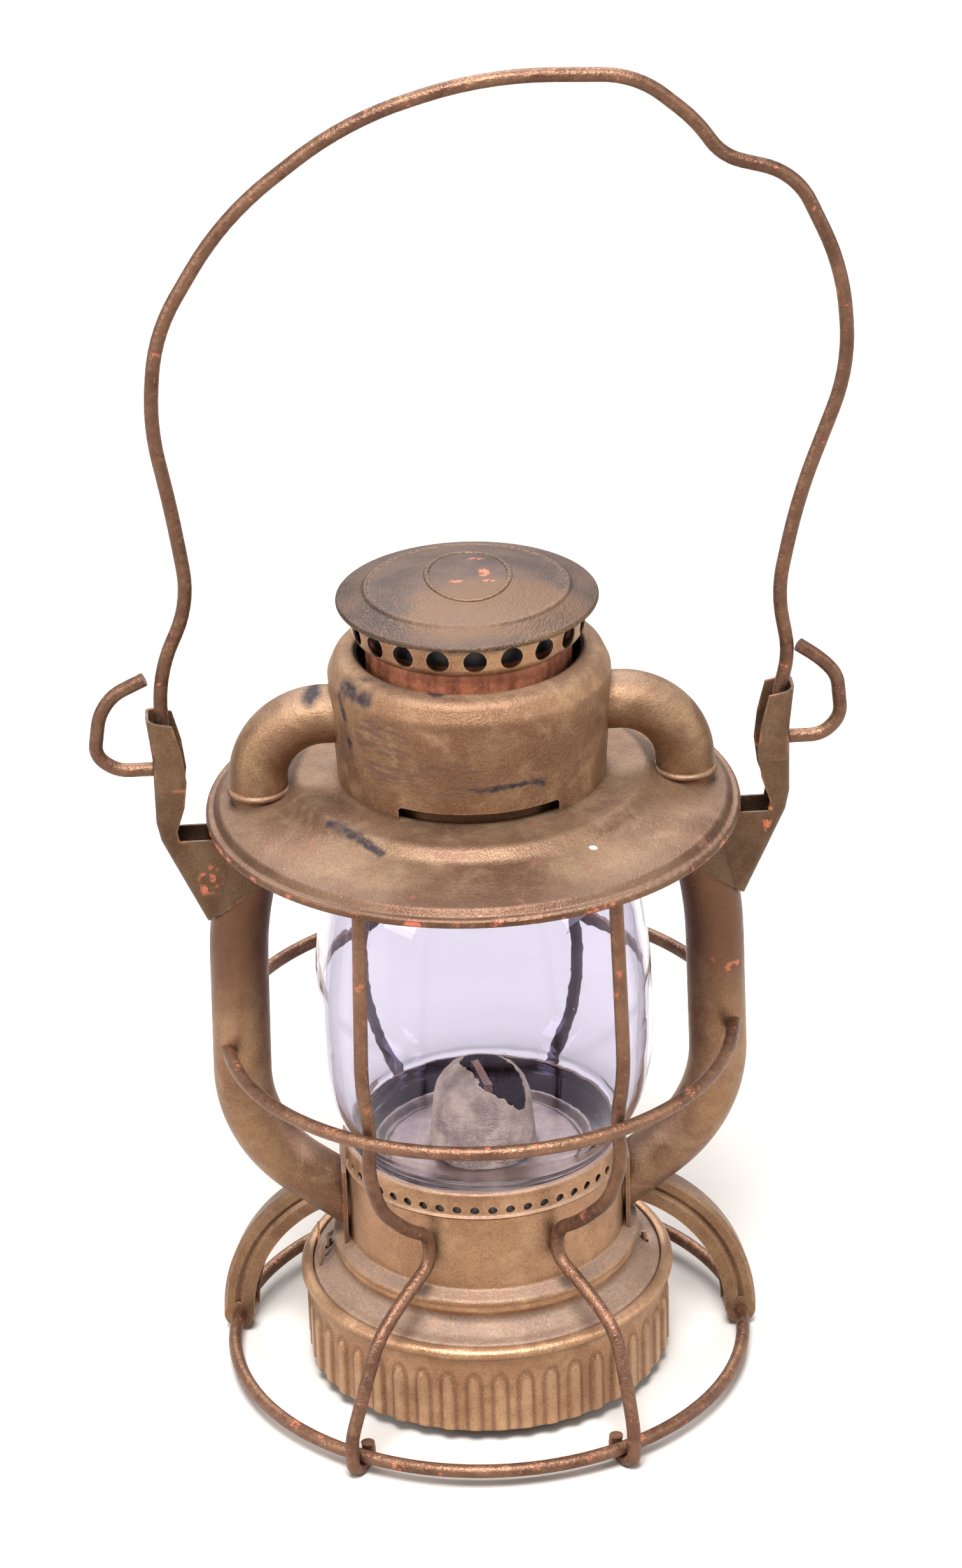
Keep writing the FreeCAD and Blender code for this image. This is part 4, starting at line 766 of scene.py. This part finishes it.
# the fount: a cup with a rolled rim and a row of domed ribs pressed out of its wall
STEPS_PER_RIB = 16
CUP = [(0.05, 5.4), (30.0, 5.4), (52.6, 5.4), (54.4, 4.5), (55.4, 4.0), (CUP_RADIUS, 4.8)]
CUP += [(CUP_RADIUS, 5.6 + 0.6 * i) for i in range(34)]
CUP += [(CUP_RADIUS, 26.8), (CUP_RADIUS, 28.4), (56.2, 29.8), (56.9, 30.5), (57.8, 30.9), (58.3, 31.8),
        (58.2, 32.9), (57.6, 33.7), (56.7, 34.1), (55.7, 34.2), (54.9, 34.1), (54.55, 33.8),
        (54.55, 32.0), (55.2, 31.6),
        (55.2, 18.0), (55.2, 6.4), (53.0, 6.0), (30.0, 6.0), (0.05, 6.0)]


def rib_height(angle, radius, z):
    """How far a rib stands out of the wall here."""
    pitch = 2 * math.pi / RIBS
    aside = ((angle / pitch + 0.5) % 1.0 - 0.5) * pitch * radius
    beyond = RIB_FADE * max(0.0, z - RIB_TOP, RIB_FOOT - z)
    share = min(1.0, max(0.0, (RIB_HALF + RIB_SOFT / 2 - math.hypot(aside, beyond)) / RIB_SOFT))
    worn = 0.75 + 0.5 * noise.noise(Vector((round(angle / pitch) % RIBS * 0.7, 0.5, 0.0)))
    return RIB_PROUD * min(1.0, worn) * share * share * (3 - 2 * share)


def ribbed_cup(name):
    """The cup's profile turned round the axis, with the ribs raised on its wall."""
    steps = RIBS * STEPS_PER_RIB
    rings = []
    for i in range(steps):
        angle = 2 * math.pi * i / steps
        ring = []
        for r, z in CUP:
            out = r + (rib_height(angle, r, z) if r == CUP_RADIUS else 0.0)
            ring.append((out * MM * math.cos(angle), out * MM * math.sin(angle), z * MM))
        rings.append(ring)
    return joined_rings(name, rings)


cup = add_piece("fount_ribbed", ribbed_cup("fount_ribbed"), "fount", FOUNT_PAINT)
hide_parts("fount_cup")

# the burner cone: a thin dome, its flame slot burnt out wide and ragged. The slot's outline is drawn on
# the dome spread out flat round its top.
DOME = [(0.0, 102.6), (2.5, 102.4), (5.0, 102.0), (7.5, 101.3), (9.6, 100.4), (11.4, 99.1), (12.8, 97.5),
        (13.8, 95.6), (14.5, 93.6), (15.0, 91.6), (15.4, 88.0), (15.8, 84.0), (16.2, 80.0), (16.5, 76.0),
        (16.6, 73.5)]
BURNT = [(-6.5, 0.4), (-6.5, 4.0), (-4.8, 8.4), (1.0, 10.4), (7.0, 7.6), (11.2, 2.4), (14.0, -2.4),
         (16.6, -7.0), (18.6, -11.4), (17.0, -14.4), (12.5, -15.0), (8.8, -14.8), (4.3, -13.6),
         (0.6, -12.3), (-1.4, -9.9), (-1.6, -7.4), (-3.2, -4.2), (-4.6, -1.9)]


def outside_by(point, outline):
    """How far a flat point is outside a closed outline; less than 0 inside it."""
    nearest, inside = 1e9, False
    for i, first in enumerate(outline):
        second = outline[(i + 1) % len(outline)]
        run = (second[0] - first[0], second[1] - first[1])
        aside = (point[0] - first[0], point[1] - first[1])
        share = (aside[0] * run[0] + aside[1] * run[1]) / (run[0] ** 2 + run[1] ** 2)
        share = min(1.0, max(0.0, share))
        nearest = min(nearest, math.hypot(aside[0] - share * run[0], aside[1] - share * run[1]))
        if (first[1] > point[1]) != (second[1] > point[1]):
            if point[0] < first[0] + run[0] * (point[1] - first[1]) / run[1]:
                inside = not inside
    return -nearest if inside else nearest


def burnt_dome(name, around=240, skin=0.6):
    """The dome as a fine mesh, with what lies inside the burnt outline cut away along a ragged edge."""
    line = []
    for (r0, z0), (r1, z1) in zip(DOME, DOME[1:]):
        line += [(r0 + (r1 - r0) * i / 6, z0 + (z1 - z0) * i / 6) for i in range(6)]
    line.append(DOME[-1])
    reach = [0.0]
    for (r0, z0), (r1, z1) in zip(line, line[1:]):
        reach.append(reach[-1] + math.hypot(r1 - r0, z1 - z0))
    mesh = bmesh.new()
    beyond = {}

    def place(r, z, far, angle):
        flat = (far * math.cos(angle), far * math.sin(angle))
        lump = 0.12 * noise.noise(Vector((flat[0] * 0.35, flat[1] * 0.35, 3.0)))
        lump += 0.16 * noise.noise(Vector((flat[0] * 0.7, flat[1] * 0.7, 7.0)))
        r = max(0.0, r + lump * min(1.0, r / 5))
        made = mesh.verts.new((r * MM * math.cos(angle), r * MM * math.sin(angle), z * MM))
        ragged = 0.9 * noise.noise(Vector((flat[0] * 0.5, flat[1] * 0.5, 0.0)))
        ragged += 0.4 * noise.noise(Vector((flat[0] * 1.7, flat[1] * 1.7, 5.0)))
        beyond[made] = outside_by(flat, BURNT) + ragged
        return made

    top = place(0.0, line[0][1], 0.0, 0.0)
    rows = [[place(r, z, far, 2 * math.pi * i / around) for i in range(around)]
            for (r, z), far in zip(line[1:], reach[1:])]
    for i in range(around):
        j = (i + 1) % around
        mesh.faces.new((top, rows[0][i], rows[0][j]))
        for upper, lower in zip(rows, rows[1:]):
            mesh.faces.new((upper[i], lower[i], lower[j]))
            mesh.faces.new((upper[i], lower[j], upper[j]))
    for edge in mesh.edges:
        first, second = edge.verts
        if beyond[first] * beyond[second] < 0:
            share = beyond[first] / (beyond[first] - beyond[second])
            mover = first if share < 0.5 else second
            mover.co = first.co.lerp(second.co, share)
            beyond[mover] = 0.0
    lost = [vert for vert in mesh.verts if beyond[vert] < 0]
    bmesh.ops.delete(mesh, geom=lost, context="VERTS")
    bmesh.ops.recalc_face_normals(mesh, faces=mesh.faces)
    bmesh.ops.solidify(mesh, geom=mesh.faces, thickness=skin * MM)
    return finished(name, mesh)


cone = add_piece("burner_cone_burnt", burnt_dome("burner_cone_burnt"), "fount", CONE_METAL)
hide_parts("burner_cone")

# the cap's medallion: a plain oval bead that follows the cap
BEAD_WIDE, BEAD_HIGH = 1.6, 0.8
cap_tree = bvhtree.BVHTree.FromObject(NODES["cap"], bpy.context.evaluated_depsgraph_get())


def cap_height(x, y):
    """The height of the cap's top over a place."""
    return cap_tree.ray_cast(Vector((x, y, 0.4)), Vector((0, 0, -1)))[0].z


def bead(name, half_width, half_length, radius, steps=96, around=8, centre=(0.0005, 0.0012)):
    """A closed oval bead half sunk in the cap."""
    rings = []
    for i in range(steps):
        angle = 2 * math.pi * i / steps
        x, y = centre[0] + half_width * math.cos(angle), centre[1] + half_length * math.sin(angle)
        away = Vector((half_length * math.cos(angle), half_width * math.sin(angle), 0)).normalized()
        middle = Vector((x, y, cap_height(x, y)))
        wide, high = BEAD_WIDE * away, Vector((0, 0, BEAD_HIGH))
        rings.append([middle + radius * (math.cos(a) * wide + math.sin(a) * high)
                      for a in (2 * math.pi * j / around for j in range(around))])
    return joined_rings(name, rings)


medallion = add_piece("cap_medallion", bead("cap_medallion", 0.0122, 0.0178, 0.00055), "chimney",
                      cap_paint("medallion_paint"))

# ---------------------------------------------------------------- floor

FLOOR_HALF = 6.0
FLOOR_TONES = ((0.420, 0.392, 0.368), (0.432, 0.404, 0.380))
floor_mesh = bpy.data.meshes.new("floor")
floor_mesh.from_pydata([(x * FLOOR_HALF, y * FLOOR_HALF, 0) for x, y in ((-1, -1), (1, -1), (1, 1), (-1, 1))],
                       [], [(0, 1, 2, 3)])
floor = bpy.data.objects.new("floor", floor_mesh)
scene.collection.objects.link(floor)
t = Tree("pale_floor")
floor_mesh.materials.append(t.shade(Base_Color=t.mix(t.noise(0.4, 3), *FLOOR_TONES), Roughness=0.9))
